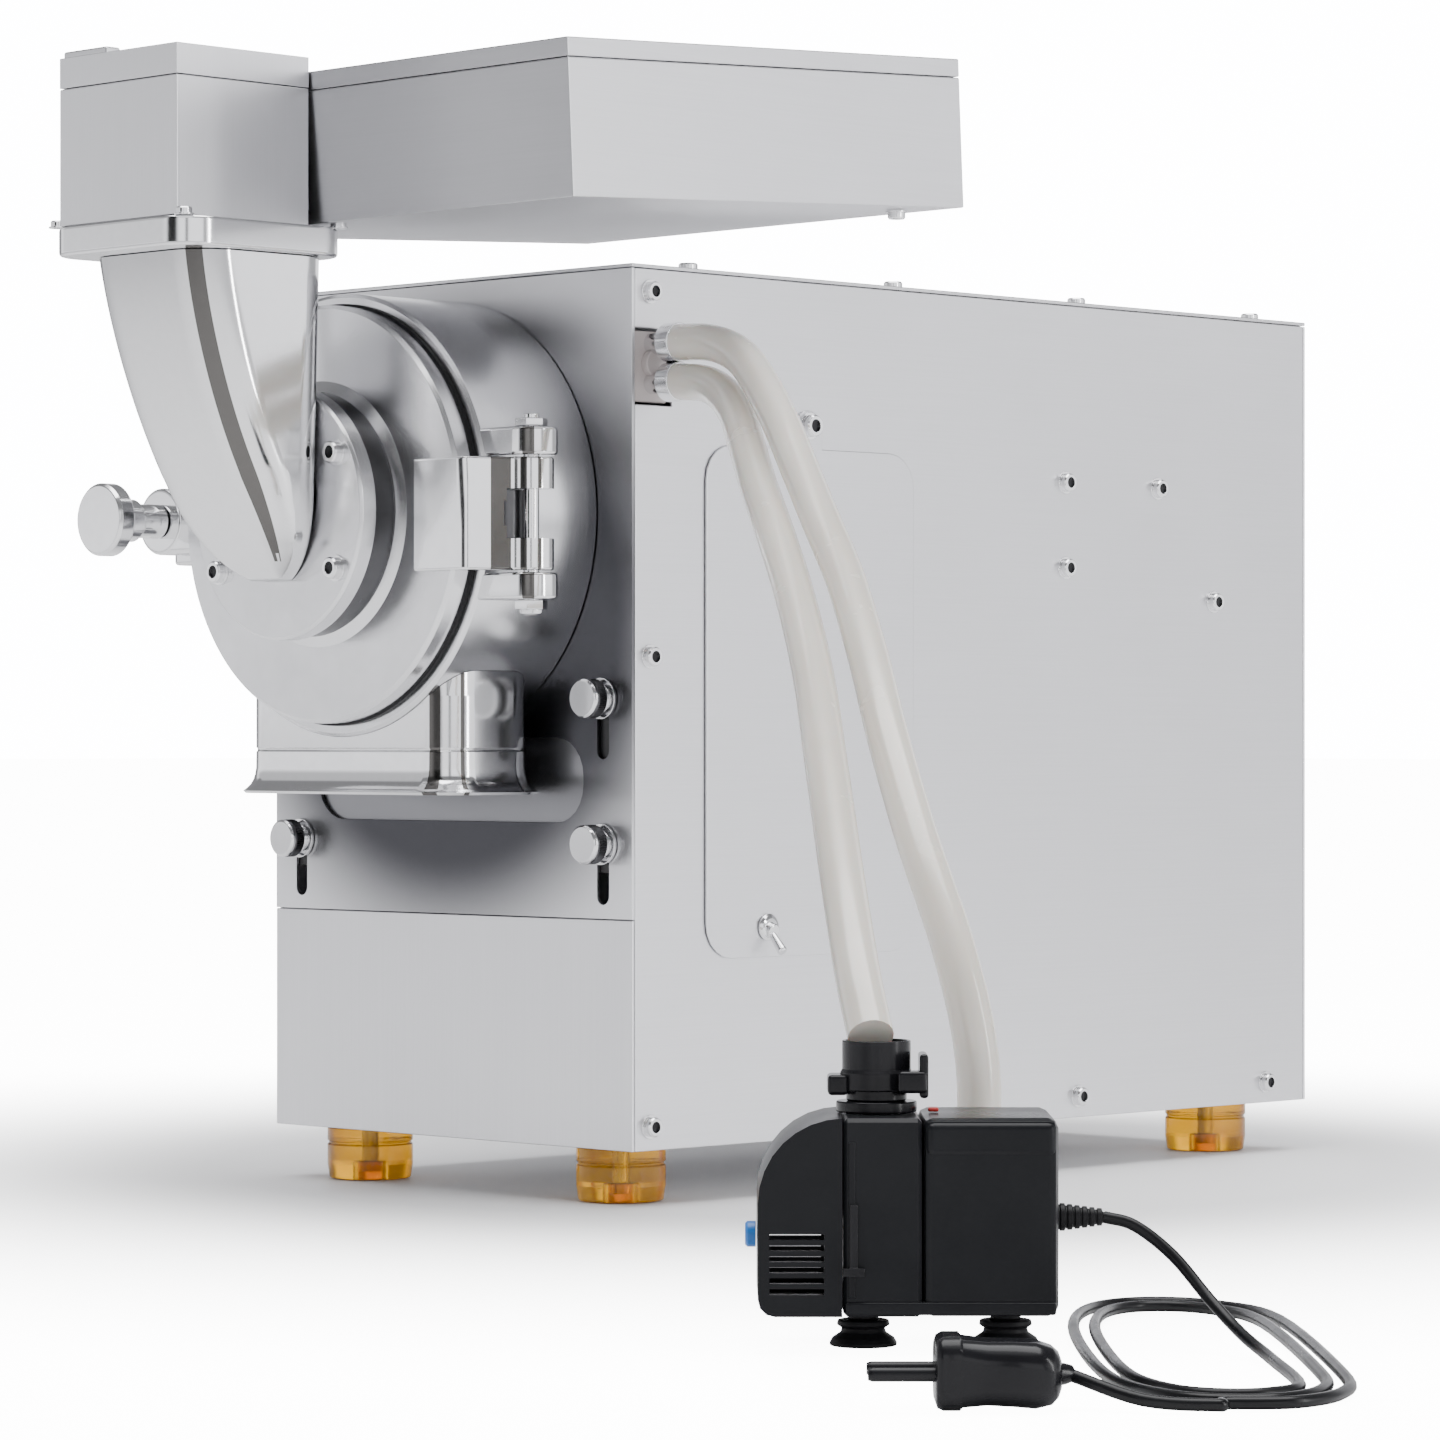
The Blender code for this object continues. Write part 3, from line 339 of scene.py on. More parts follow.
def metal(name, colour, roughness, spread, stretch, line_height):
    made, tree, shader = material(name, colour, roughness, 1.0)
    marks = use_group(tree, BRUSHING, object_vector(tree), Stretch=stretch)
    lines, smears = marks.outputs["Lines"], marks.outputs["Smears"]
    both = maths(tree, "ADD", maths(tree, "MULTIPLY", lines, 0.6), maths(tree, "MULTIPLY", smears, 0.4))
    tree.links.new(ramp(tree, both, 0, 1, roughness - spread, roughness + spread),
                   shader.inputs["Roughness"])
    darker = tuple(0.93 * channel for channel in colour)
    tree.links.new(tinted(tree, both, colour, darker), shader.inputs["Base Color"])
    bump(tree, shader, lines, line_height)
    return made


SATIN = (0.80, 0.80, 0.82)
MATERIALS = {
    "sheet_along": metal("sheet_along", SATIN, 0.36, 0.04, (1400, 14, 1400), 0.000003),
    "sheet_upright": metal("sheet_upright", SATIN, 0.34, 0.04, (1400, 1400, 14), 0.000003),
    "polished": metal("polished", (0.80, 0.80, 0.815), 0.24, 0.04, (60, 1600, 60), 0.000002),
    # A darker steel for painted shade on the plate behind the window.
    "sheet_plate": metal("sheet_plate", (0.30, 0.30, 0.315), 0.34, 0.05, (1400, 1400, 14), 0.000003),
    # A dark steel for painted reflection lines down polished corners.
    "elbow_streak": metal("elbow_streak", (0.13, 0.125, 0.12), 0.22, 0.03, (300, 300, 300), 0.000001),
    # A dark steel for painted shade in recesses and knurls.
    "dark_steel": metal("dark_steel", (0.11, 0.11, 0.115), 0.32, 0.06, (300, 300, 300), 0.00001),
    # A darker steel for painted shade on the front faces of the tray and lid.
    "sheet_across": metal("sheet_across", (0.46, 0.46, 0.475), 0.33, 0.04, (14, 1400, 1400), 0.000003),
    "elbow": metal("elbow", (0.83, 0.83, 0.84), 0.11, 0.02, (300, 300, 300), 0.000001),
    "mirror": metal("mirror", (0.84, 0.84, 0.85), 0.14, 0.03, (300, 300, 300), 0.0000015),
    "machined": metal("machined", (0.52, 0.52, 0.54), 0.30, 0.08, (120, 2400, 120), 0.00001),
    "cast": metal("cast", (0.34, 0.35, 0.37), 0.55, 0.12, (500, 500, 500), 0.00012),
    "copper": metal("copper", (0.72, 0.36, 0.20), 0.36, 0.08, (2600, 40, 2600), 0.00004),
}

DRUM_SHADE_CENTRE = (0, -205, 228)


def from_axis(tree, keep):
    """How far a point is from the painted shade's centre, below the drum's axis, along the kept directions.
    """
    offset = tree.nodes.new("ShaderNodeVectorMath")
    offset.operation = "SUBTRACT"
    tree.links.new(object_vector(tree), offset.inputs[0])
    offset.inputs[1].default_value = MILL @ Vector(DRUM_SHADE_CENTRE)
    flat = tree.nodes.new("ShaderNodeVectorMath")
    flat.operation = "MULTIPLY"
    flat.inputs[1].default_value = keep
    tree.links.new(offset.outputs[0], flat.inputs[0])
    reach = tree.nodes.new("ShaderNodeVectorMath")
    reach.operation = "LENGTH"
    tree.links.new(flat.outputs[0], reach.inputs[0])
    return reach.outputs["Value"]


def slider_plate():
    """The plate behind the window, in a darker steel that is painted shade, with a painted black shade strip
    behind each row of slots.
    """
    made = MATERIALS["sheet_plate"].copy()
    made.name = "slider_plate"
    tree = made.node_tree
    shader = tree.nodes["Principled BSDF"]
    # A black strip behind each row of slots, as painted shade.
    slot_shade = ramp(tree, from_axis(tree, (1, 0, 0)), 0.0805, 0.0815)
    tree.links.new(tinted(tree, slot_shade, (0.26, 0.26, 0.275), (0.004, 0.004, 0.005)),
                   shader.inputs["Base Color"])
    tree.links.new(maths(tree, "SUBTRACT", 1, slot_shade), shader.inputs["Metallic"])
    return made


def painted_drum_shade():
    """The front sheet, with painted shade round the drum: dark close to it, fading to the bare satin steel
    further out.
    """
    made = MATERIALS["sheet_upright"].copy()
    made.name = "sheet_front"
    tree = made.node_tree
    shader = tree.nodes["Principled BSDF"]
    # Painted shade: dark close to the drum, fading out further away.
    clear = ramp(tree, from_axis(tree, (0.95, 0, 0.95)), 0.090, 0.146)
    clear.node.interpolation_type = "SMOOTHSTEP"
    tree.links.new(tinted(tree, clear, (0.07, 0.07, 0.078), SATIN), shader.inputs["Base Color"])
    return made


MATERIALS["sheet_front"], MATERIALS["slider_plate"] = painted_drum_shade(), slider_plate()
print(len(MATERIALS), "metals")

# %% [markdown]
# ## Plastics, rubber and silicone
#
# The pump is moulded black plastic with a fine grain and a soft sheen. The hoses are milky silicone,
# where light goes in and spreads, so they have some subsurface light and a wet-looking coat. The feet
# are clear amber rubber. These constants sit on the shader's own sockets.

# %% Plastics


def moulded(name, colour, roughness, spread, scale, height, **constants):
    made, tree, shader = material(name, colour, roughness, 0.0, **constants)
    marks = use_group(tree, MOULDING, object_vector(tree), Scale=scale)
    flow = marks.outputs["Flow"]
    tree.links.new(ramp(tree, flow, 0, 1, roughness - spread, roughness + spread),
                   shader.inputs["Roughness"])
    lighter = tuple(min(1.0, 1.25 * channel + 0.004) for channel in colour)
    tree.links.new(tinted(tree, flow, colour, lighter), shader.inputs["Base Color"])
    bump(tree, shader, marks.outputs["Grain"], height)
    return made


def silicone():
    constants = {"Subsurface_Weight": 0.2, "Subsurface_Scale": 0.003, "Coat_Weight": 0.6,
                 "Coat_Roughness": 0.12}
    made, tree, shader = material("milky_silicone", (0.70, 0.66, 0.60), 0.30, 0.0, **constants)
    vector = object_vector(tree)
    cloud = ramp(tree, noise(tree, vector, 22.0, 4.0), 0.3, 0.7)
    tree.links.new(tinted(tree, cloud, (0.66, 0.62, 0.55), (0.70, 0.665, 0.60)),
                   shader.inputs["Base Color"])
    tree.links.new(ramp(tree, noise(tree, vector, 60.0, 3.0), 0.3, 0.7, 0.20, 0.28),
                   shader.inputs["Roughness"])
    bump(tree, shader, noise(tree, vector, 40.0, 2.0), 0.00004)
    return made


def amber():
    made, tree, shader = material("amber_rubber", (0.93, 0.50, 0.03), 0.10, 0.0,
                                  Transmission_Weight=0.88, IOR=1.43)
    vector = object_vector(tree)
    cloud = ramp(tree, noise(tree, vector, 70.0, 3.0), 0.35, 0.7)
    tree.links.new(tinted(tree, cloud, (0.92, 0.46, 0.008), (0.74, 0.30, 0.004)),
                   shader.inputs["Base Color"])
    tree.links.new(ramp(tree, cloud, 0, 1, 0.10, 0.24), shader.inputs["Roughness"])
    bump(tree, shader, noise(tree, vector, 260.0, 2.0), 0.0001)
    return made


MATERIALS.update({
    "black_plastic": moulded("black_plastic", (0.0055, 0.006, 0.0075), 0.32, 0.06, 1600.0, 0.00002,
                             Specular_IOR_Level=0.16),
    "black_gloss": moulded("black_gloss", (0.006, 0.006, 0.0075), 0.20, 0.05, 900.0, 0.00001,
                           Specular_IOR_Level=0.22),
    "black_rubber": moulded("black_rubber", (0.008, 0.008, 0.009), 0.45, 0.08, 700.0, 0.00003,
                            Specular_IOR_Level=0.18),
    "cord_rubber": moulded("cord_rubber", (0.006, 0.006, 0.007), 0.30, 0.08, 500.0, 0.00002,
                           Specular_IOR_Level=0.22),
    "blue_plastic": moulded("blue_plastic", (0.015, 0.15, 0.50), 0.32, 0.05, 900.0, 0.00002),
    "red_rubber": moulded("red_rubber", (0.45, 0.02, 0.015), 0.40, 0.06, 700.0, 0.00003),
    "fitting": moulded("fitting", (0.42, 0.38, 0.37), 0.42, 0.06, 500.0, 0.00003),
    "silicone": silicone(),
    "amber": amber(),
})
print(len(MATERIALS), "finishes")

# %% [markdown]
# ## Drawing helpers
#
# A turned piece is a profile spun round an axis, and real turned edges are never sharp, so every
# profile corner gets a small fillet first. A sheet solid needs the same softness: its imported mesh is
# copied, its loose triangles are merged, and a narrow bevel catches the light along each fold.

# %% Helpers


def filleted(points, radius, steps=4, closed=True):
    """The outline with its corners rounded, each by no more than its two edges allow."""
    points = [Vector(p) for p in points]
    made = []
    for index, corner in enumerate(points):
        if not closed and index in (0, len(points) - 1):
            made.append(corner)
            continue
        before, after = points[index - 1] - corner, points[(index + 1) % len(points)] - corner
        turn = before.angle(after)
        if turn > math.radians(172):
            made.append(corner)
            continue
        reach = min(radius / math.tan(turn / 2), 0.45 * before.length, 0.45 * after.length)
        start, end = corner + before.normalized() * reach, corner + after.normalized() * reach
        for step in range(steps + 1):
            t = step / steps
            made.append(start * (1 - t) ** 2 + corner * 2 * t * (1 - t) + end * t ** 2)
    return made


def arc(centre, radius, start, end, steps):
    for step in range(steps + 1):
        angle = math.radians(start + (end - start) * step / steps)
        yield (centre[0] + radius * math.cos(angle), centre[1] + radius * math.sin(angle))


def rounded_rectangle(low, high, radius, steps=10):
    (x0, y0), (x1, y1) = low, high
    points = []
    for centre, start in (
        ((x1 - radius, y0 + radius), -90), ((x1 - radius, y1 - radius), 0),
        ((x0 + radius, y1 - radius), 90), ((x0 + radius, y0 + radius), 180),
    ):
        points += arc(centre, radius, start, start + 90, steps)
    return points


def add_turned(bm, profile, radius=0.5, steps=96, where=FACING_UP, knurl=None):
    """Spins a profile of (radius, height) about Z. knurl is (low, high, depth)."""
    on_axis = any(r < 1e-6 for r, _ in profile)
    rounded = filleted(profile, radius, closed=not on_axis)
    old = set(bm.verts)
    verts = [bm.verts.new((p.x, 0, p.y)) for p in rounded]
    edges = [bm.edges.new(pair) for pair in zip(verts, verts[1:])]
    if not on_axis:
        edges.append(bm.edges.new((verts[-1], verts[0])))
    bmesh.ops.spin(bm, geom=verts + edges, axis=(0, 0, 1), cent=(0, 0, 0), angle=math.tau, steps=steps,
                   use_merge=True)
    made = [v for v in bm.verts if v not in old]
    if knurl:
        low, high, depth = knurl
        for vert in made:
            place = vert.co
            tooth = round(math.atan2(place.y, place.x) / math.tau * steps) % 2
            if low < place.z < high and tooth and place.xy.length > 4:
                place.xy *= 1 - depth / place.xy.length
    bmesh.ops.transform(bm, matrix=where, verts=made)


def add_block(bm, low, high, radius=0.5, steps=3, where=FACING_UP):
    low, high = Vector(low), Vector(high)
    size = Matrix.Diagonal((*(high - low), 1))
    made = bmesh.ops.create_cube(bm, size=1, matrix=Matrix.Translation((low + high) / 2) @ size)["verts"]
    edges = {edge for vert in made for edge in vert.link_edges}
    old = set(bm.verts) - set(made)
    if radius:
        bmesh.ops.bevel(bm, geom=list(edges), offset=radius, segments=steps, profile=0.5, affect="EDGES")
    bmesh.ops.transform(bm, matrix=where, verts=[v for v in bm.verts if v not in old])


def add_plate(bm, outline, low, high, radius=0.4, where=FACING_UP):
    """An outline raised from low to high, with its two rims rounded."""
    old = set(bm.verts)
    face = bm.faces.new([bm.verts.new((x, y, low)) for x, y in outline])
    raised = bmesh.ops.extrude_face_region(bm, geom=[face])["geom"]
    top = [item for item in raised if isinstance(item, bmesh.types.BMVert)]
    bmesh.ops.translate(bm, verts=top, vec=(0, 0, high - low))
    made = [v for v in bm.verts if v not in old]
    rims = {edge for vert in made for edge in vert.link_edges
            if abs(edge.verts[0].co.z - edge.verts[1].co.z) < 1e-6}
    if radius:
        bmesh.ops.bevel(bm, geom=list(rims), offset=radius, segments=3, profile=0.5, affect="EDGES")
    bmesh.ops.transform(bm, matrix=where, verts=[v for v in bm.verts if v not in old])


def add_loft(bm, rings, caps=True):
    loops = [[bm.verts.new(point) for point in ring] for ring in rings]
    for upper, lower in zip(loops, loops[1:]):
        for i, j in zip(range(len(upper)), [*range(1, len(upper)), 0]):
            bm.faces.new((upper[i], lower[i], lower[j], upper[j]))
    if caps:
        bm.faces.new(loops[0])
        bm.faces.new(loops[-1])


def evaluated_mesh(obj):
    graph = bpy.context.evaluated_depsgraph_get()
    return bpy.data.meshes.new_from_object(obj.evaluated_get(graph))


def smoothed(mesh, angle):
    """Smooth shading in which the large faces stay flat and only the small fillets turn."""
    mesh.shade_smooth()
    mesh.set_sharp_from_angle(angle=math.radians(angle))
    holder = placed("smoothing", mesh)
    step = holder.modifiers.new("weights", "WEIGHTED_NORMAL")
    step.keep_sharp, step.weight = True, 100
    made = evaluated_mesh(holder)
    made.name = mesh.name
    bpy.data.objects.remove(holder)
    return made


def closed_mesh(bm, name, where, angle=35):
    bmesh.ops.remove_doubles(bm, verts=bm.verts, dist=0.0005)
    bmesh.ops.recalc_face_normals(bm, faces=bm.faces)
    mesh = bpy.data.meshes.new(name)
    bm.to_mesh(mesh)
    bm.free()
    mesh.transform(where)
    return smoothed(mesh, angle)


def add_piece(name, mesh, finish, body, replaces):
    made = placed(name, mesh)
    mesh.materials.clear()
    mesh.materials.append(MATERIALS[finish])
    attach(made, body)
    if replaces:
        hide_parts(*replaces)
    print(f"{name}: {len(mesh.polygons)} faces on {body}")
    return made


def finished(bm, name, finish, body, replaces, where=MILL, angle=35):
    """Closes what was drawn and makes a piece of it."""
    return add_piece(name, closed_mesh(bm, name, where, angle), finish, body, replaces)


def carved(mesh, cutters):
    """The mesh less each cutter, a function that draws into a bmesh."""
    target = placed("carving", mesh)
    tools = []
    for draw in cutters:
        bm = bmesh.new()
        draw(bm)
        tool = placed("cutter", closed_mesh(bm, "cutter", FACING_UP))
        step = target.modifiers.new("cut", "BOOLEAN")
        step.operation, step.solver, step.object = "DIFFERENCE", "EXACT", tool
        tools.append(tool)
    result = evaluated_mesh(target)
    for spent in (target, *tools):
        bpy.data.objects.remove(spent)
    return smoothed(result, 35)


def softened(node, finish, body, width=0.4):
    """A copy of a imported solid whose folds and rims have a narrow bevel."""
    bm = bmesh.new()
    bm.from_mesh(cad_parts[node].data)
    bmesh.ops.remove_doubles(bm, verts=bm.verts, dist=0.00001)
    bmesh.ops.dissolve_limit(bm, angle_limit=math.radians(1), verts=bm.verts, edges=bm.edges)
    sharp = [e for e in bm.edges if len(e.link_faces) == 2 and e.calc_face_angle() > math.radians(28)]
    bmesh.ops.bevel(bm, geom=sharp, offset=width * MM, segments=2, profile=0.5, affect="EDGES",
                    clamp_overlap=True)
    mesh = bpy.data.meshes.new(node)
    bm.to_mesh(mesh)
    bm.free()
    return add_piece(f"{node}_shell", smoothed(mesh, 40), finish, body, (node,))


def paint_reflection_lines(piece, windows, beyond=-1e3):
    """Paints a darker metal on the upright faces that look between these bearings, as painted dark
    reflection lines.
    """
    mesh = piece.data
    mesh.materials.append(MATERIALS["elbow_streak"])
    edge = (MILL @ Vector((beyond, 0, 0))).x
    for face in mesh.polygons:
        bearing = math.degrees(math.atan2(face.normal.x, -face.normal.y))
        upright = abs(face.normal.z) < 0.75 and face.center.x > edge
        if upright and any(low < bearing < high for low, high in windows):
            face.material_index = 1


print("helpers ready")

# %% [markdown]
# ## Hoses and lead
#
# Each line is a curve with a round bevel, so it keeps the length of its route exactly. They are made
# before the machine.

# %% Tubes


def tube(name, route, where, radius, finish, node):
    curve = bpy.data.curves.new(name, "CURVE")
    curve.dimensions = "3D"
    curve.bevel_depth = radius * MM
    curve.bevel_resolution = 8
    curve.use_fill_caps = True
    spline = curve.splines.new("POLY")
    spline.points.add(len(route) - 1)
    for point, place in zip(spline.points, route):
        point.co = (*(where @ place), 1)
    spline.use_smooth = True
    curve.materials.append(MATERIALS[finish])
    made = placed(name, curve)
    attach(made, "mill")
    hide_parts(node)
    return made


supply_hose = tube("supply_hose", supply_line, MILL, HOSE_RADIUS, "silicone", "hose_supply")
return_hose = tube("return_hose", return_line, MILL, HOSE_RADIUS, "silicone", "hose_return")
pump_lead = tube("pump_lead", cord_line, PUMP, CORD_RADIUS, "cord_rubber", "pump_cord")
print("three lines made")

# %% [markdown]
# ## The folded case
#
# Stainless panels 1.5 mm thick are folded and screwed together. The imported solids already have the
# right cut-outs, so each one is only softened along its edges and given brushed steel.

# %% Case panels
for node in ("left_side_panel", "right_side_panel", "access_panel", "top_cover", "base_plate"):
    softened(node, "sheet_along", "mill")
for node in ("lower_front_panel", "rear_panel"):
    softened(node, "sheet_upright", "mill")
# The front panel carries painted shade round the drum.
softened("front_panel", "sheet_front", "mill")
# The adjuster plate is darker steel with black strips behind its slots, all painted shade.
softened("adjuster_plate", "slider_plate", "adjuster", 0.3)

# %% [markdown]
# ## Feed duct, tray and lid
#
# The feed parts are folded from the same sheet. They ride on the door, which carries the whole feed,
# and the lid and the duct's cap each have a body of their own.

# %% Feed sheet pieces
softened("duct_box", "sheet_upright", "door", 0.5)
softened("duct_cap", "sheet_upright", "cap", 0.5)
tray_shell = softened("feed_tray", "sheet_along", "door", 0.5)
lid_shell = softened("tray_lid", "sheet_along", "lid", 0.5)
# Faces of the tray and lid that look to the front get the darker steel, as painted shade.
for shell in (tray_shell, lid_shell):
    shell.data.materials.append(MATERIALS["sheet_across"])
    for face in shell.data.polygons:
        face.material_index = int(face.normal.y < -0.8)

# %% [markdown]
# ## The grinding drum
#
# The drum is turned from solid stainless and polished. A profile spun in 128 steps gives a clean
# mirror, and the mouth to the chute is then cut out of its wall. The two pairs of ears are plates
# with a round end about their pin.

# %% Drum
DRUM_RADIUS = 86.0
PIN = (98.0, -251.0)
CLAMP_AXIS = at(-PIN[0], 0, AXIS_Z) @ FACING_FRONT
EAR_RADIUS = 10.0


def ear_outline(side):
    end = list(arc(PIN, EAR_RADIUS, -90, 90, 20))
    outline = [(70, PIN[1] - EAR_RADIUS), *end, (70, PIN[1] + EAR_RADIUS)]
    return outline if side > 0 else [(-x, y) for x, y in reversed(outline)]


def drum_mouth(bm):
    add_block(bm, (-52, -255, 170), (52, -217, 230), 0)


bm = bmesh.new()
add_turned(bm, [(84.6, 262), (DRUM_RADIUS, 260.6), (DRUM_RADIUS, 205.3), (11.6, 205.3), (11.6, 213.3),
                (76, 213.3), (76, 262)], 0.6, 128, ON_AXIS)
drum = carved(closed_mesh(bm, "drum", FACING_UP), [drum_mouth])
drum.transform(MILL)
add_piece("grinding_drum", drum, "polished", "mill", ("chamber_housing",))

bm = bmesh.new()
for side, low, high in ((1, 286.3, 297.0), (1, 232.0, 242.2), (-1, 273.4, 283.4), (-1, 249.4, 259.4)):
    add_plate(bm, ear_outline(side), low, high, 1.3)
ears = finished(bm, "drum_ears", "mirror", "mill", ())
# Painted dark reflection lines down the ears' rounded ends.
paint_reflection_lines(ears, ((24, 58),))

# %% [markdown]
# ## Door, neck and hinge
#
# The door is a thick polished disc with a stepped neck that takes the feed elbow. Its bracket wraps
# round the hinge pin between the drum's ears, and a round notch in the bracket leaves the pin in view.

# %% Door
DOOR_BACK, DOOR_FACE, NECK_FRONT = 262.3, 272.3, 293.0
NECK_RADIUS = 49.0


def round_notch(bm):
    add_turned(bm, [(0, 12), (9.4, 12), (9.4, -30), (0, -30)], 0.1, 48, at(88, -251, 264.3) @ FACING_FRONT)


def open_notch(bm):
    add_block(bm, (88, -262, 254.9), (112, -236, 273.7), 0)


def feed_mouth(bm):
    add_turned(bm, [(0, 310), (22, 310), (22, 255), (0, 255)], 0.1, 64, at(0, 0, 272) @ FACING_FRONT)


bm = bmesh.new()
add_turned(bm, [(0, NECK_FRONT), (NECK_RADIUS - 1, NECK_FRONT), (NECK_RADIUS, 292), (NECK_RADIUS, 285.5),
                (NECK_RADIUS - 2.4, 285), (NECK_RADIUS - 2.4, 274.6), (NECK_RADIUS + 2.5,
                                                                       DOOR_FACE), (79.6, DOOR_FACE),
                (81, 270.9), (81, DOOR_BACK), (0, DOOR_BACK)], 0.5, 128, ON_AXIS)
door_disc = carved(closed_mesh(bm, "door_disc", FACING_UP), [feed_mouth])
door_disc.transform(MILL)
add_piece("door_disc", door_disc, "polished", "door", ("chamber_door",))

bm = bmesh.new()
bracket_side = [(60, -276.2), (84, -276.2), (90, -274.5), (94, -268), (97, -260.4), (98, -259.6)]
knuckle_round = list(arc(PIN, 8.6, -90, 130, 24))
add_plate(bm, [*bracket_side, *knuckle_round, (88, -262.8), (60, -262.8)], 243.0, 285.6, 1.0)
bracket = carved(closed_mesh(bm, "bracket", FACING_UP), [round_notch, open_notch])
bracket.transform(MILL)
hinge_bracket = add_piece("hinge_bracket", bracket, "mirror", "door", ())

# Painted dark reflection lines on the bracket.
paint_reflection_lines(hinge_bracket, ((20, 34), (60, 74)))

bm = bmesh.new()
add_block(bm, (-98, -271.6, 253.4), (-70, -262.9, 279.4), 2.0)
add_turned(bm, [(0, 272), (13.4, 272), (13.4, 262.6), (0, 262.6)], 1.6, 72, CLAMP_AXIS)
finished(bm, "clamp_arm", "mirror", "door", ())

# Dark rings in the neck's groove and the hinge notch: painted shade in these recesses.
bm = bmesh.new()
add_turned(bm, [(NECK_RADIUS - 1.6, 284.9), (NECK_RADIUS - 1.6, 274.9), (NECK_RADIUS - 4, 274.9),
                (NECK_RADIUS - 4, 284.9)],
           0.4, 128, ON_AXIS)
add_turned(bm, [(0, 273.6), (7.2, 273.6), (7.2, 255.0), (0, 255.0)], 0.5, 40, at(86.5, -253.5, 0))
finished(bm, "door_recesses", "dark_steel", "door", ())

# A black ring where door and drum meet, as painted shade in the gap between them.
bm = bmesh.new()
add_turned(bm, [(81.9, 263.9), (81.9, 262.05), (80.5, 262.05), (80.5, 263.9)], 0.3, 128, ON_AXIS)
finished(bm, "door_gasket", "black_rubber", "door", ())

# %% [markdown]
# ## Hinge pin and nuts
#
# The door turns on a pin with a nut at each end. The pin, washers and nuts could be separate pieces,
# but they never move apart, so they are drawn as one.

# %% Hinge pin and nuts


def hexagon(radius):
    return list(arc((0, 0), radius, 0, 300, 5))


def add_nut(bm, radius, low, high, where):
    add_plate(bm, hexagon(radius), low, high, 0.5, where)


bm = bmesh.new()
pin_at = at(*PIN, 0)
add_turned(bm, [(0, 302.4), (3, 302.4), (3, 226), (0, 226)], 0.8, 48, pin_at)
add_nut(bm, 6.3, 297.3, 300.4, pin_at)
add_nut(bm, 6.3, 228.2, 231.8, pin_at)
add_turned(bm, [(0, 229), (4.6, 229), (4.2, 226.6), (0, 225.6)], 0.9, 40, pin_at)
add_turned(bm, [(0, 241.9), (5.2, 241.9), (5.2, 239), (0, 239)], 0.4, 40, pin_at)
finished(bm, "hinge_pin_and_nuts", "mirror", "mill", ("hinge_pin",))

# %% [markdown]
# ## Clamp knob
#
# The left side of the door is held by a screw with a thick disc knob. Its stem steps down behind the
# knob, and the screw reaches a barrel nut between the drum's second pair of ears.

# %% Clamp knob
CLAMP_PROFILE = [
    (0, 303), (13.4, 303), (14.5, 301.8), (14.5, 296.2), (13.4, 295), (8.5, 295), (8.5, 286), (6.8, 284),
    (6.8, 272.6), (3.0, 272.6), (3.0, 261.6), (4.8, 261.6), (4.8, 259.6), (3.0, 259.6), (3.0, 247), (0,
                                                                                                     247),
]
bm = bmesh.new()
add_turned(bm, CLAMP_PROFILE, 0.7, 96, CLAMP_AXIS)
finished(bm, "clamp_knob_turned", "mirror", "clamp", ("clamp_knob",))

# %% [markdown]
# ## Discharge chute
#
# The powder falls through a rounded rectangular tube whose lip is flared outwards by rolling. It is a
# loft of rounded rectangles down the tube, with a shallow groove above the lip, given its wall by
# Solidify and cut to the drum's curve.

# %% Chute
CHUTE_LEVELS = ((225, 0), (196, 0), (176.2, 0), (175.6, -0.5), (174.9, -0.5), (174.3, 0), (168, 0.1),
                (165.5, 0.5),
                (163.4, 1.2), (161.6, 2.3), (160.2, 3.7), (159.2, 5.0), (159.0, 5.2))


def chute_ring(z, flare):
    outline = rounded_rectangle((-61 - flare, -260 - flare), (61 + flare, -212 + flare), 14 + flare, 14)
    return [(x, y, z) for x, y in outline]


def drum_space(bm):
    add_turned(bm, [(0, 300), (86.2, 300), (86.2, 180), (0, 180)], 0.1, 128, ON_AXIS)


bm = bmesh.new()
add_loft(bm, [chute_ring(*level) for level in CHUTE_LEVELS], caps=False)
skin = placed("chute_skin", closed_mesh(bm, "chute_skin", FACING_UP))
wall = skin.modifiers.new("wall", "SOLIDIFY")
wall.thickness, wall.offset = 1.4, -1
chute = carved(evaluated_mesh(skin), [drum_space])
bpy.data.objects.remove(skin)
chute.transform(MILL)
chute_tube = add_piece("powder_chute", chute, "mirror", "mill", ("discharge_chute",))

# Painted dark reflection lines down the chute's rounded corners.
paint_reflection_lines(chute_tube, ((12, 30), (62, 70)), 20)

# %% [markdown]
# ## Feed elbow and collar
#
# The elbow is a rounded square tube whose back stays flat against the neck while its front curves in
# to a round nose. Sections are lofted every few millimetres, which keeps its one soft corner even.
# The dark reflection line down that corner is painted, as a darker metal on the faces that look that way.

# %% Elbow
ELBOW_TOP, ELBOW_DEPTH, ELBOW_DROP, ELBOW_BACK = 373.0, 68.0, 135.0, -293.3
ELBOW_NOSE_Z, ELBOW_NOSE = 285.0, 47.0


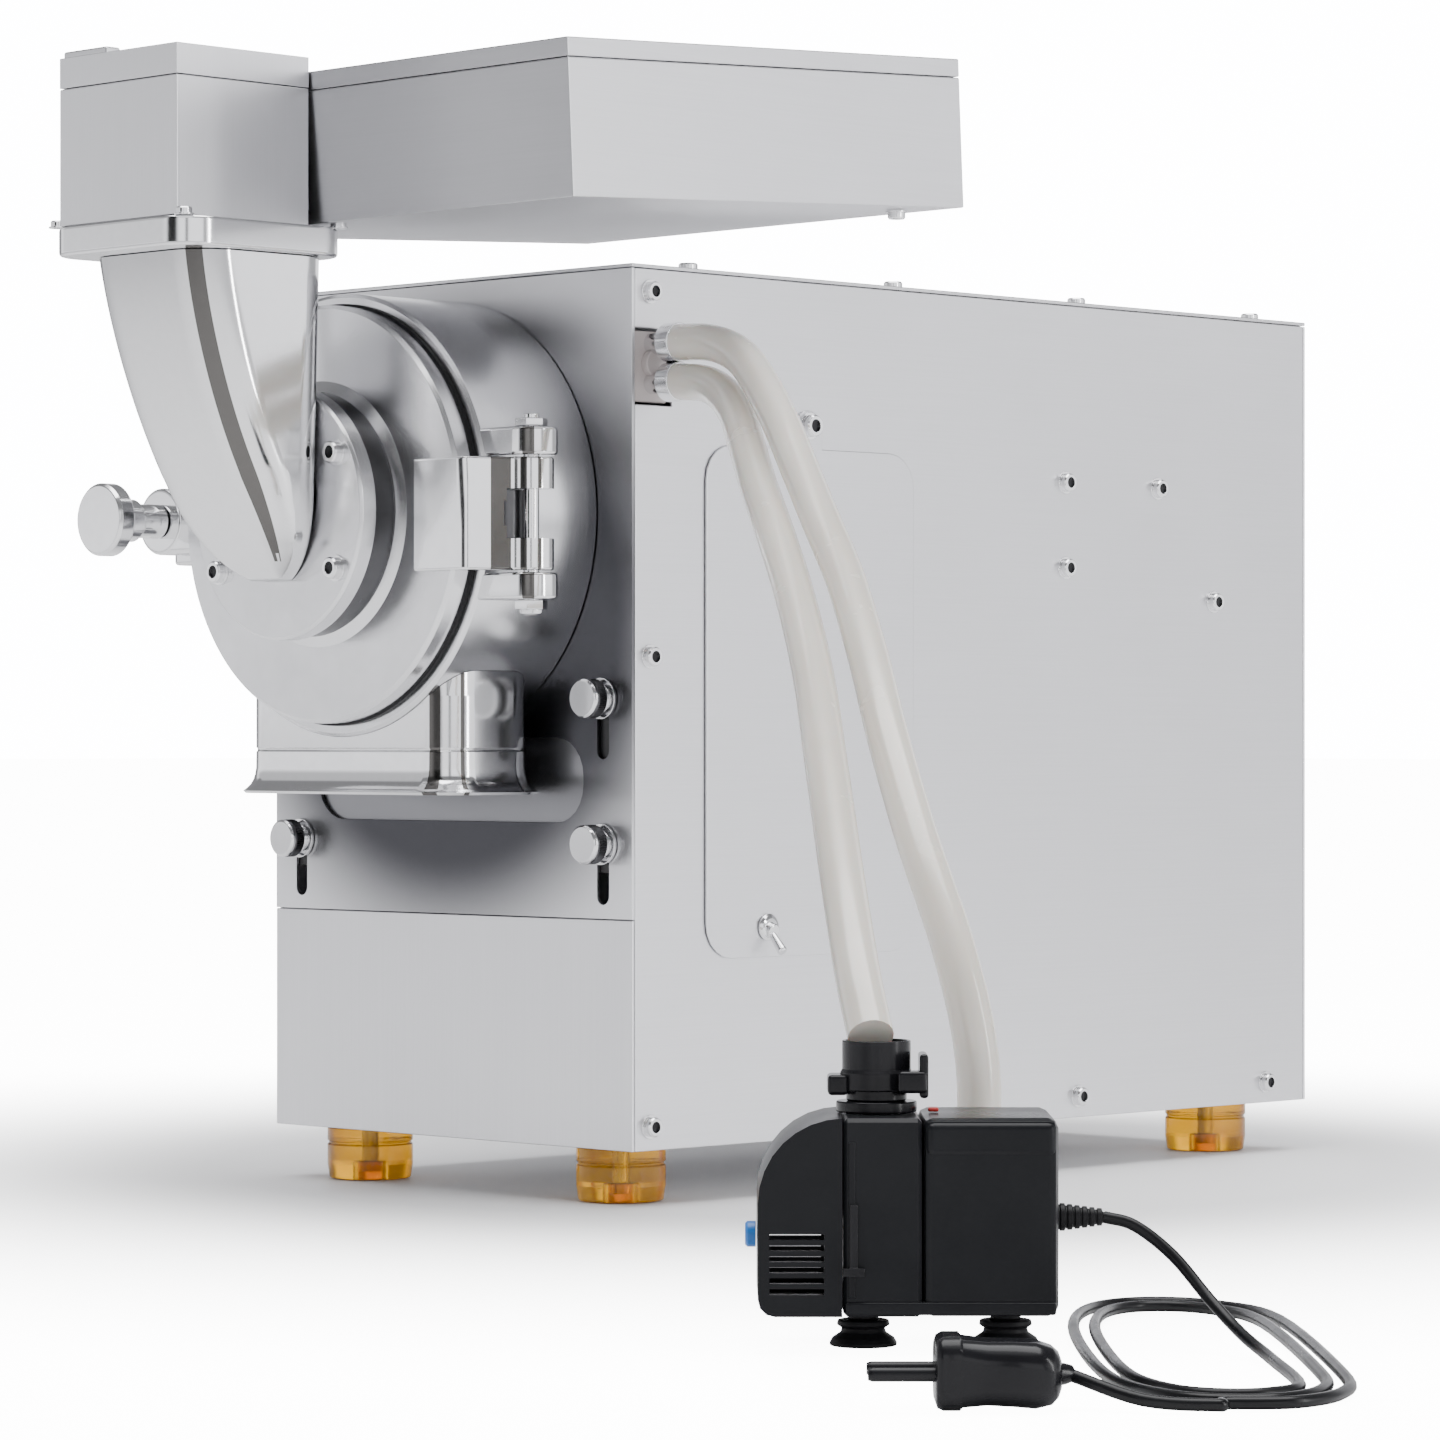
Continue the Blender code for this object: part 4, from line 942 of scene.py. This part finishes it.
def elbow_ring(z, inset):
    drop = min(max((ELBOW_TOP - z) / ELBOW_DROP, 0.0), 1.0)
    depth = ELBOW_DEPTH * (1 - drop ** 1.5) ** (1 / 1.5) - 2 * inset
    share = min(max((ELBOW_TOP - z) / (ELBOW_TOP - ELBOW_NOSE_Z), 0.0), 1.0)
    half = 36.0 - 3.0 * share
    if z < ELBOW_NOSE_Z:
        half = 33.0 * math.sqrt(max(1 - ((ELBOW_NOSE_Z - z) / ELBOW_NOSE) ** 2, 0.0))
    half -= inset
    back = ELBOW_BACK - inset
    radius = min(17.0 - inset, 0.92 * half, 0.46 * depth)
    return [(x, y, z) for x, y in rounded_rectangle((-half, back - depth), (half, back), radius, 24)]


def elbow_inside(bm):
    rings = [elbow_ring(z, 2.0) for z in range(361, 256, -4)]
    top = [(x, y, 370.0) for x, y, _ in rings[0]]
    add_loft(bm, [top, *rings])


elbow_heights = [361.7 - 3.0 * step for step in range(37)] + [250, 247, 244.5, 242.5, 241, 240.2]
bm = bmesh.new()
add_loft(bm, [elbow_ring(z, 0) for z in elbow_heights])
elbow = carved(closed_mesh(bm, "elbow", FACING_UP), [elbow_inside, feed_mouth])
elbow.transform(MILL)
elbow_tube = add_piece("feed_elbow_tube", elbow, "elbow", "door", ("feed_elbow",))
paint_reflection_lines(elbow_tube, ((22, 46),), 8)


def collar_hole(bm):
    add_plate(bm, rounded_rectangle((-32, -357), (32, -309), 8), 355, 380, 0)


bm = bmesh.new()
add_plate(bm, rounded_rectangle((-42, -374), (42, -290), 16), 362.0, 373.0, 1.4)
collar = carved(closed_mesh(bm, "collar", FACING_UP), [collar_hole])
collar.transform(MILL)
add_piece("duct_collar_plate", collar, "mirror", "door", ("duct_collar",))

# %% [markdown]
# ## Screws, placed by Geometry Nodes
#
# Every cover is held by the same small cap screw on a washer, so it is drawn once. A node tree puts
# one at each point of a mesh, all facing the same way, makes them real and gives them their metal.
# Only the list of places changes from face to face. The places on the left and the rear are guessed.

# %% Screw and its tree


def head_template():
    bm = bmesh.new()
    add_turned(bm, [(0, 1.3), (2.2, 1.3), (2.2, 3.6), (3.3, 3.6), (3.8, 3.0), (3.8, 0.7), (0, 0.7)],
               0.18, 24)
    add_turned(bm, [(0, 0.75), (4.7, 0.75), (4.7, 0), (0, 0)], 0.15, 24)
    return bpy.data.objects.new("head_template", closed_mesh(bm, "head_template", Matrix.Scale(MM, 4)))


def socket_template():
    """The shadow at the bottom of the key hole, as a dark hexagon."""
    bm = bmesh.new()
    add_plate(bm, hexagon(2.35), 1.25, 2.6, 0)
    return bpy.data.objects.new("socket_template", closed_mesh(bm, "socket_template", Matrix.Scale(MM, 4)))


def scatter_tree():
    tree = bpy.data.node_groups.new("fastener_row", "GeometryNodeTree")
    tree.interface.new_socket("Places", in_out="INPUT", socket_type="NodeSocketGeometry")
    sockets = {}
    for label, kind in (("Fastener", "NodeSocketObject"), ("Facing", "NodeSocketRotation"),
                        ("Size", "NodeSocketFloat"), ("Metal", "NodeSocketMaterial")):
        sockets[label] = tree.interface.new_socket(label, in_out="INPUT", socket_type=kind).identifier
    tree.interface.new_socket("Fasteners", in_out="OUTPUT", socket_type="NodeSocketGeometry")
    given, out = tree.nodes.new("NodeGroupInput"), tree.nodes.new("NodeGroupOutput")
    shape = tree.nodes.new("GeometryNodeObjectInfo")
    copies = tree.nodes.new("GeometryNodeInstanceOnPoints")
    real = tree.nodes.new("GeometryNodeRealizeInstances")
    paint = tree.nodes.new("GeometryNodeSetMaterial")
    links = tree.links
    links.new(given.outputs["Fastener"], shape.inputs["Object"])
    links.new(given.outputs["Places"], copies.inputs["Points"])
    links.new(shape.outputs["Geometry"], copies.inputs["Instance"])
    links.new(given.outputs["Facing"], copies.inputs["Rotation"])
    links.new(given.outputs["Size"], copies.inputs["Scale"])
    links.new(copies.outputs["Instances"], real.inputs["Geometry"])
    links.new(real.outputs["Geometry"], paint.inputs["Geometry"])
    links.new(given.outputs["Metal"], paint.inputs["Material"])
    links.new(paint.outputs["Geometry"], out.inputs["Fasteners"])
    return tree, sockets


HEAD, SOCKET = head_template(), socket_template()
SCATTER, SCATTER_SOCKETS = scatter_tree()


def scattered(name, places, facing, body, size, finish, shape):
    mesh = bpy.data.meshes.new(name)
    mesh.from_pydata([MILL @ Vector(place) for place in places], [], [])
    holder = placed(name, mesh)
    rows = holder.modifiers.new("rows", "NODES")
    rows.node_group = SCATTER
    values = {"Fastener": shape, "Facing": facing.to_euler(), "Size": size, "Metal": MATERIALS[finish]}
    for label, value in values.items():
        rows[SCATTER_SOCKETS[label]] = value
    made = evaluated_mesh(holder)
    bpy.data.objects.remove(holder)
    return add_piece(name, made, finish, body, ())


def fasteners(name, places, facing, body, size=1.0):
    scattered(name, places, facing, body, size, "mirror", HEAD)
    scattered(f"{name}_sockets", places, facing, body, size, "black_gloss", SOCKET)


SIDE_SCREWS = ((45.7, 286), (104.8, 285.4), (45.7, 250.5), (141.9, 238), (53.9, 30.3), (177.2, 30.4),
               (-195.4, 351), (-195.4, 211), (-195.4, 30.7))
fasteners("right_side_screws", [(105, y, z) for y, z in SIDE_SCREWS], FACING_RIGHT, "mill")
fasteners("left_side_screws", [(-105, y, z) for y, z in SIDE_SCREWS if z < 240 or y < 0], FACING_LEFT,
          "mill")
fasteners("access_ear_screw", [(106.3, -109, 303.0)], FACING_RIGHT, "mill", 1.15)
fasteners("top_cover_screws", [(x, y, 361.5) for x in (-90, 90) for y in (-160, -43, 70, 185)],
          FACING_UP, "mill")
REAR_SCREWS = [(x, z) for x in (-94, 94) for z in (40, 190, 345)]
fasteners("rear_panel_screws", [(x, 205, z) for x, z in REAR_SCREWS], FACING_BACK, "mill")
NECK_SCREWS = [(x, AXIS_Z + z) for x in (-34.5, 34.5) for z in (-22, 22)]
fasteners("neck_screws", [(x, -293, z) for x, z in NECK_SCREWS], FACING_FRONT, "door", 1.1)
COLLAR_SCREWS = [(x, y) for x in (-37.5, 37.5) for y in (-369.5, -294.5)]
fasteners("collar_screws", [(x, y, 373) for x, y in COLLAR_SCREWS], FACING_UP, "door", 0.8)
fasteners("tray_screw", [(162, -118, 383.4)], Matrix.Rotation(math.pi, 4, "X"), "door", 0.9)

# %% [markdown]
# ## Thumb screws
#
# The plate behind the front is held by four thumb screws: a bright cap, a knurled band and a washer.
# The knurl could be a bump, but it shows at the outline, so every second column of the band is drawn
# in.

# %% Thumb screws
start = 205.3
for level_name, level in (("lower", 139.0), ("upper", 195.0)):
    for side_name, side in (("left", -1), ("right", 1)):
        bm = bmesh.new()
        where = at(side * 89.0, 0, level) @ FACING_FRONT
        add_turned(bm, [(0, start + 11), (6.7, start + 11), (7.5, start + 10.2), (7.5, start + 9.2),
                        (7.1, start + 9.0),
                        (7.0, start + 8.6), (7.0, start + 4.6), (5.4, start + 4.4), (5.4, start + 1.4),
                        (8.0, start + 1.4), (8.0, start), (2.9, start), (2.9, 196), (0, 196)],
                   0.3, 96, where)
        name = f"thumb_screw_{level_name}_{side_name}"
        body = f"thumb_{level_name}_{side_name}"
        finished(bm, f"{name}_turned", "mirror", body, (name,))
        # The knurled band is a dark steel, as painted shade in the knurl.
        bm = bmesh.new()
        add_turned(bm, [(7.6, start + 8.5), (7.6, start + 4.5), (6.4, start + 4.5), (6.4, start + 8.5)],
                   0.3, 120, where,
                   (start + 4.6, start + 8.4, 0.45))
        finished(bm, f"{name}_grip", "dark_steel", body, (), angle=25)

# %% [markdown]
# ## Latch
#
# The access panel has a quarter-turn latch with a small bat-shaped lever. The lever is turned like
# the hub and then tilted, which keeps its round end.

# %% Latch
bm = bmesh.new()
latch_at = at(0, -132.5, 105.7) @ FACING_RIGHT
add_turned(bm, [(0, 108.6), (3.4, 108.6), (4.4, 108.2), (5.35, 107.4), (5.35, 106.6), (2.9, 106.6),
                (2.9, 99.5), (0, 99.5)],
           0.35, 48, latch_at)
add_turned(bm, [(0, 12.6), (1.7, 12.6), (2.1, 11.6), (1.2, 2), (1.2, 0), (0, 0)], 0.5, 32,
           at(106.8, -132.5, 105.7) @ Matrix.Rotation(math.radians(140), 4, "Y"))
add_turned(bm, [(0, 5), (3.0, 5), (3.0, 0), (0, 0)], 0.8, 32,
           at(105.6, -132.5, 105.7) @ Matrix.Rotation(math.radians(110), 4, "Y"))
add_block(bm, (99.6, -136, 92), (101.0, -129, 108), 0.4)
finished(bm, "latch_turned", "mirror", "latch", ("panel_latch",))

# %% [markdown]
# ## Feet
#
# Each foot is a clear amber rubber puck. Light enters it, so it is modelled with its recess and
# with the steel screw and washer that hold it, which show through as darker shapes.

# %% Feet
for end, y in (("front", -181.0), ("rear", 174.0)):
    for side, x in (("left", -74.0), ("right", 74.0)):
        bm = bmesh.new()
        add_turned(bm, [(0, 21.2), (17.0, 21.2), (17.5, 20.4), (17.5, 15.4), (16.9, 15.0), (16.9, 14.2),
                        (17.5, 13.8),
                        (17.5, 6), (16.6, 0), (5, 0), (5, 7), (0, 7)], 0.8, 72, at(x, y, 0))
        finished(bm, f"rubber_foot_{end}_{side}", "amber", "mill",
                  (f"foot_{end}_{side}",))
        bm = bmesh.new()
        add_turned(bm, [(0, 21.3), (2.4, 21.3), (2.4, 7.0), (4.6, 7.0), (4.6, 3.4), (0, 3.4)], 0.4, 32,
                   at(x, y, 0))
        finished(bm, f"foot_screw_{end}_{side}", "machined", "mill",
                  ())

# %% [markdown]
# ## The pump
#
# A small submersible pump: a motor block, a pump body with an adjusting slider, a slotted cover with
# a round shoulder, two sucker feet and a short outlet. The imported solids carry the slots, so they are
# softened with a wider bevel. Its seams are blocks that stand a little proud, and are drawn only here.

# %% Pump shells
softened("pump_motor_block", "black_plastic", "mill", 0.6)
softened("pump_body", "black_plastic", "mill", 0.7)
softened("pump_intake_cover", "black_plastic", "mill", 0.6)
softened("flow_slider", "black_gloss", "slider", 0.3)

bm = bmesh.new()
add_block(bm, (-18.4, -25.9, 11.6), (43.2, 25.9, 15.4), 0.8)
add_block(bm, (5.0, -25.6, 57.5), (43.4, 25.6, 68.0), 2.6)
add_block(bm, (-17.6, -25.5, 16.5), (-15.4, 25.5, 62.0), 0.5)
finished(bm, "pump_seams", "black_plastic", "mill", (), where=PUMP)

# %% [markdown]
# ## The pump's outlet
#
# A short barb with a clamp round the hose. The rings are turned and the clamp's screw housing is made
# of bevelled blocks. The small red seal is drawn only here.

# %% Pump outlet and hose clamp
OUTLET_X = -8.6
bm = bmesh.new()
add_turned(bm, [(9.0, 84.5), (9.0, 73), (7.6, 72), (7.6, 69.2), (4.5, 69.2), (4.5, 84.5)], 0.4, 64,
           at(OUTLET_X, 0, 0))
add_turned(bm, [(10.2, 90.5), (10.2, 82), (10.8, 81), (10.8, 76), (9.2, 75.5), (9.2, 90.5)], 0.4, 64,
           at(OUTLET_X, 0, 0))
add_turned(bm, [(12.0, 72.6), (12.0, 69.3), (7.0, 69.3), (7.0, 72.6)], 0.6, 64, at(OUTLET_X, 0, 0))
add_block(bm, (OUTLET_X + 6, -13.8, 75.5), (OUTLET_X + 14.5, -5.5, 82), 1.2)
add_block(bm, (OUTLET_X + 12.4, -12.5, 74), (OUTLET_X + 15.0, 3.0, 87), 1.0)
add_block(bm, (OUTLET_X - 14.6, -7.0, 74.5), (OUTLET_X - 8.5, 6.0, 80.5), 1.2)
finished(bm, "pump_outlet_clamp", "black_gloss", "mill", ("pump_outlet",), where=PUMP)

bm = bmesh.new()
add_block(bm, (OUTLET_X + 15.2, -3.0, 69.4), (OUTLET_X + 18.4, 2.0, 70.6), 0.5)
finished(bm, "pump_outlet_seal", "red_rubber", "mill", (), where=PUMP)

# %% [markdown]
# ## The pump's feet, dial and gland
#
# Two sucker feet, a small dial with a fine knurl, and the ribbed gland that the lead leaves by. All
# are round, so all are turned, and a loop draws the ribs of the gland.

# %% Pump trim
for name, x in (("pump_foot_left", -12.5), ("pump_foot_right", 29.7)):
    bm = bmesh.new()
    add_turned(bm, [(0, 10.7), (4.5, 10.7), (4.5, 8), (7.6, 7.6), (7.9, 6.2), (6.4, 5.2), (6.8, 4),
                    (9.2, 2.4), (10, 1.0),
                    (10, 0), (0, 0)], 0.5, 64, at(x, 0, 0))
    finished(bm, f"{name}_sucker", "black_rubber", "mill", (name,), where=PUMP)

knob_turn = at(-44.4, 0, 33) @ Matrix.Rotation(math.radians(-90), 4, "Y")
bm = bmesh.new()
add_turned(bm, [(0, 3.2), (3.2, 3.2), (3.85, 2.5), (3.85, 0), (0, 0)], 0.3, 60, knob_turn, (0.4, 2.4, 0.3))
finished(bm, "flow_knob_dial", "blue_plastic", "knob", ("flow_knob",), where=PUMP, angle=25)

gland_turn = at(44.3, 0, 38) @ Matrix.Rotation(math.radians(90), 4, "Y")
gland_profile = [(0, 16.5), (1.5, 16.5), (1.5, 14.3)]
for ring in range(6):
    low = 13.9 - 2.2 * ring
    radius = 2.3 + 0.3 * ring
    gland_profile += [(radius + 0.3, low), (radius + 0.35, low - 1.3), (radius - 0.1, low - 1.5),
                      (radius - 0.05, low - 2.0)]
gland_profile += [(4.1, 0.6), (4.1, 0), (0, 0)]
bm = bmesh.new()
add_turned(bm, gland_profile, 0.2, 40, gland_turn)
finished(bm, "lead_gland", "black_rubber", "mill", ("pump_gland",), where=PUMP)

# %% [markdown]
# ## The plug
#
# The lead ends in a plain two-pin plug: a rounded body with a waist for the fingers, a thicker face,
# and a short sleeve where the lead goes in.

# %% Plug
PLUG = (19.5, -146.0)


def plug_ring(x, half_y, low, high, radius):
    outline = rounded_rectangle((-half_y, low), (half_y, high), radius, 8)
    return [(PLUG[0] + x, PLUG[1] + y, z) for y, z in outline]


bm = bmesh.new()
add_loft(bm, [plug_ring(*section) for section in (
    (-17, 9.5, 2.6, 17.6, 4.5), (-16.4, 11.2, 0.9, 19.3, 5.2), (-14.8, 12, 0.2, 20.2, 5.8), (-10.4, 12,
                                                                                             0.2, 20.2, 5.8),
    (-9.6, 11.2, 1.0, 19.3, 5.4), (-3, 10.4, 1.4, 18.6, 6), (4, 10.6, 1.0, 18.6, 6.4), (10, 11.0, 0.5,
                                                                                        18.4, 6.8),
    (14.5, 9.0, 1.4, 17, 6.2), (16.4, 6.4, 3.2, 15.4, 5.2), (17.2, 4, 5.2, 13.2, 3.8))])
for side in (-1, 1):
    add_turned(bm, [(0, 19), (1.6, 19), (2.0, 17.8), (2.0, 0), (0, 0)], 0.4, 24,
               at(PLUG[0] - 16, PLUG[1] + 6.5 * side, 10) @ Matrix.Rotation(math.radians(-90), 4, "Y"))
sleeve_at = at(PLUG[0] + 14.2, PLUG[1] + 0.6, 9.1) @ Matrix.Rotation(math.radians(24), 4, "Z")
add_turned(bm, [(0, 6.6), (2.3, 6.6), (2.9, 4.5), (3.6, 0), (0, 0)], 0.4, 32,
           sleeve_at @ Matrix.Rotation(math.radians(90), 4, "Y"))
finished(bm, "lead_plug", "black_gloss", "mill", ("pump_plug",), where=PUMP, angle=50)

# %% [markdown]
# ## Nipples
#
# Two barbed nipples come out through the case's notch and take the hoses. They are turned in one
# piece with their barbs. The fitting plate round them is drawn only here.

# %% Nipples
for name, z, start in (("nipple_upper", 331.0, 44.0), ("nipple_lower", 316.0, 58.0)):
    bm = bmesh.new()
    add_turned(bm, [(4.2, 110), (4.2, start), (2.8, start), (2.8, 118), (4.6, 118), (5.1, 115.6),
                    (4.2, 115.2)], 0.2, 48,
               at(0, -193, z) @ FACING_RIGHT)
    add_turned(bm, [(7.6, 119.4), (7.6, 112.4), (4.3, 112.4), (4.3, 119.4)], 0.5, 48,
               at(0, -193, z) @ FACING_RIGHT)
    finished(bm, f"{name}_barb", "mirror", "mill", (name,))

bm = bmesh.new()
add_block(bm, (101.2, -202.4, 308.6), (103.4, -184.8, 336.0), 0.8)
add_turned(bm, [(0, 106.5), (5.4, 106.5), (5.4, 103), (0, 103)], 0.6, 40, at(0, -193, 323.5) @ FACING_RIGHT)
finished(bm, "hose_fitting", "fitting", "mill", ())

# %% [markdown]
# ## Inside the case and the drum
#
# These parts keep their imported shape. The ones that the open door or the rear shows get soft edges,
# and the hidden ones only get a finish.

# %% Inside the drum
softened("hammer_carrier", "machined", "rotor", 0.3)
for number, body in ((1, "one"), (2, "two"), (3, "three"), (4, "four")):
    softened(f"hammer_{number}", "machined", f"hammer_{body}", 0.5)
softened("grinding_screen", "machined", "mill", 0.1)
softened("clamp_trunnion", "machined", "mill", 0.3)
softened("power_inlet", "black_plastic", "mill", 0.3)
softened("power_rocker", "black_gloss", "rocker", 0.4)

CARRIED = {
    "rotor_shaft": "machined", "bearing_front": "machined", "cooling_jacket": "cast", "motor_shell": "cast",
    "motor_stator": "copper", "cooling_fan": "black_plastic", "pump_impeller": "black_plastic",
}
for node, finish in CARRIED.items():
    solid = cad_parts[node]
    solid.data.materials.clear()
    solid.data.materials.append(MATERIALS[finish])
print(len(CARRIED), "packed solids kept with new finishes")

# %% [markdown]
# ## The lead's bend
#
# The lead is a mains lead and should bend no tighter than four diameters, but its turns bend to
# 2.25. This is a known fault of this route and not a fact about the lead.

# %% [markdown]
# ## Floor and light
#
# Polished steel shows the room it stands in, so the room is what is designed: a white floor, a pale
# horizon, a dark band above it, a few dark upright cards and two lamps. A plain bright room would be
# simpler, but it washes the metal out. The floor and the room are therefore brighter to the camera
# than they are as light, and the ground stays white away from the case. Close to the case the floor's
# glow fades out and it shows its real light and shadow, so the fade reads as a painted soft shadow
# round the case. All of it is stage and none of it is the object.

# %% Stage
floor_mesh = bpy.data.meshes.new("floor")
bm = bmesh.new()
bmesh.ops.create_grid(bm, x_segments=1, y_segments=1, size=30)
bm.to_mesh(floor_mesh)
bm.free()
floor = placed("floor", floor_mesh)
floor.location = (*MILL.translation.xy, -0.0004)
floor_paint, floor_tree, floor_shader = material("floor_paint", (0.93, 0.93, 0.935), 0.55, 0.0)
reach = floor_tree.nodes.new("ShaderNodeVectorMath")
reach.operation = "LENGTH"
floor_tree.links.new(object_vector(floor_tree), reach.inputs[0])
# The floor glows white to the camera away from the case and not near it, so the fade reads as a painted soft
# shadow round the case.
floor_glow = ramp(floor_tree, reach.outputs["Value"], 0.24, 0.78, 0.0, 13.0)
floor_glow.node.interpolation_type = "SMOOTHSTEP"
looked_at = floor_tree.nodes.new("ShaderNodeLightPath").outputs["Is Camera Ray"]
floor_tree.links.new(maths(floor_tree, "MULTIPLY", floor_glow, looked_at),
                     floor_shader.inputs["Emission Strength"])
floor_shader.inputs["Emission Color"].default_value = (1, 1, 1, 1)
floor_mesh.materials.append(floor_paint)

world = bpy.data.worlds.new("studio")
bpy.context.scene.world = world
world.use_nodes = True
tree = world.node_tree
parts = tree.nodes.new("ShaderNodeSeparateXYZ")
tree.links.new(tree.nodes.new("ShaderNodeTexCoord").outputs["Generated"], parts.inputs[0])
east, north, up = parts.outputs


def soft_step(value, low, high):
    made = ramp(tree, value, low, high)
    made.node.interpolation_type = "SMOOTHSTEP"
    return made


def mixed(first, first_share, second, second_share):
    return maths(tree, "ADD", maths(tree, "MULTIPLY", first, first_share),
                 maths(tree, "MULTIPLY", second, second_share))


def upright_card(bearing, half, depth):
    """How dark a tall card stands at this bearing, in degrees from the front towards the right."""
    turn = math.radians(bearing)
    ahead = mixed(east, math.sin(turn), north, -math.cos(turn))
    aside = maths(tree, "ABSOLUTE", mixed(east, math.cos(turn), north, math.sin(turn)), 0)
    edge = math.sin(math.radians(half))
    inside = maths(tree, "SUBTRACT", 1, soft_step(aside, 0.6 * edge, 1.4 * edge))
    return maths(tree, "MULTIPLY", maths(tree, "MULTIPLY", inside, soft_step(ahead, 0.1, 0.3)), depth)


front_left = maths(tree, "MULTIPLY", upright_card(-48, 34, 0.62), soft_step(up, 0.0, 0.16))
shade = maths(tree, "MAXIMUM", maths(tree, "MULTIPLY", soft_step(up, 0.26, 0.46), 0.86), front_left)
for bearing, half, depth in ((6, 15, 1.0), (46, 3.5, 0.9), (96, 5, 0.75), (168, 18, 0.7), (-105, 16, 0.85)):
    shade = maths(tree, "MAXIMUM", shade, upright_card(bearing, half, depth))
shade = maths(tree, "MULTIPLY", shade, maths(tree, "SUBTRACT", 1, soft_step(up, 0.78, 0.92)))
STUDIO, BACKDROP = 2.0, 16.0
lit = ramp(tree, shade, 0, 1, STUDIO, 0.012)
seen = tree.nodes.new("ShaderNodeLightPath").outputs["Is Camera Ray"]
strength = tree.nodes.new("ShaderNodeMix")
strength.data_type = "FLOAT"
strength.inputs["B"].default_value = BACKDROP
tree.links.new(seen, strength.inputs["Factor"])
tree.links.new(lit, strength.inputs["A"])
background = tree.nodes["Background"]
background.inputs["Color"].default_value = (0.965, 0.97, 1.0, 1)
tree.links.new(strength.outputs["Result"], background.inputs["Strength"])


def lamp(name, place, aim, size, watts):
    light = bpy.data.lights.new(name, "AREA")
    light.shape, light.size, light.size_y, light.energy = "RECTANGLE", size[0], size[1], watts
    made = placed(name, light)
    made.location = MILL @ Vector(place)
    direction = MILL @ Vector(aim) - made.location
    made.rotation_euler = direction.to_track_quat("-Z", "Y").to_euler()


lamp("top_softbox", (400, -300, 2200), (150, -100, 100), (2.4, 1.6), 60)
lamp("edge_light", (1900, 250, 500), (200, -300, 200), (0.12, 1.2), 9)
print("stage ready")
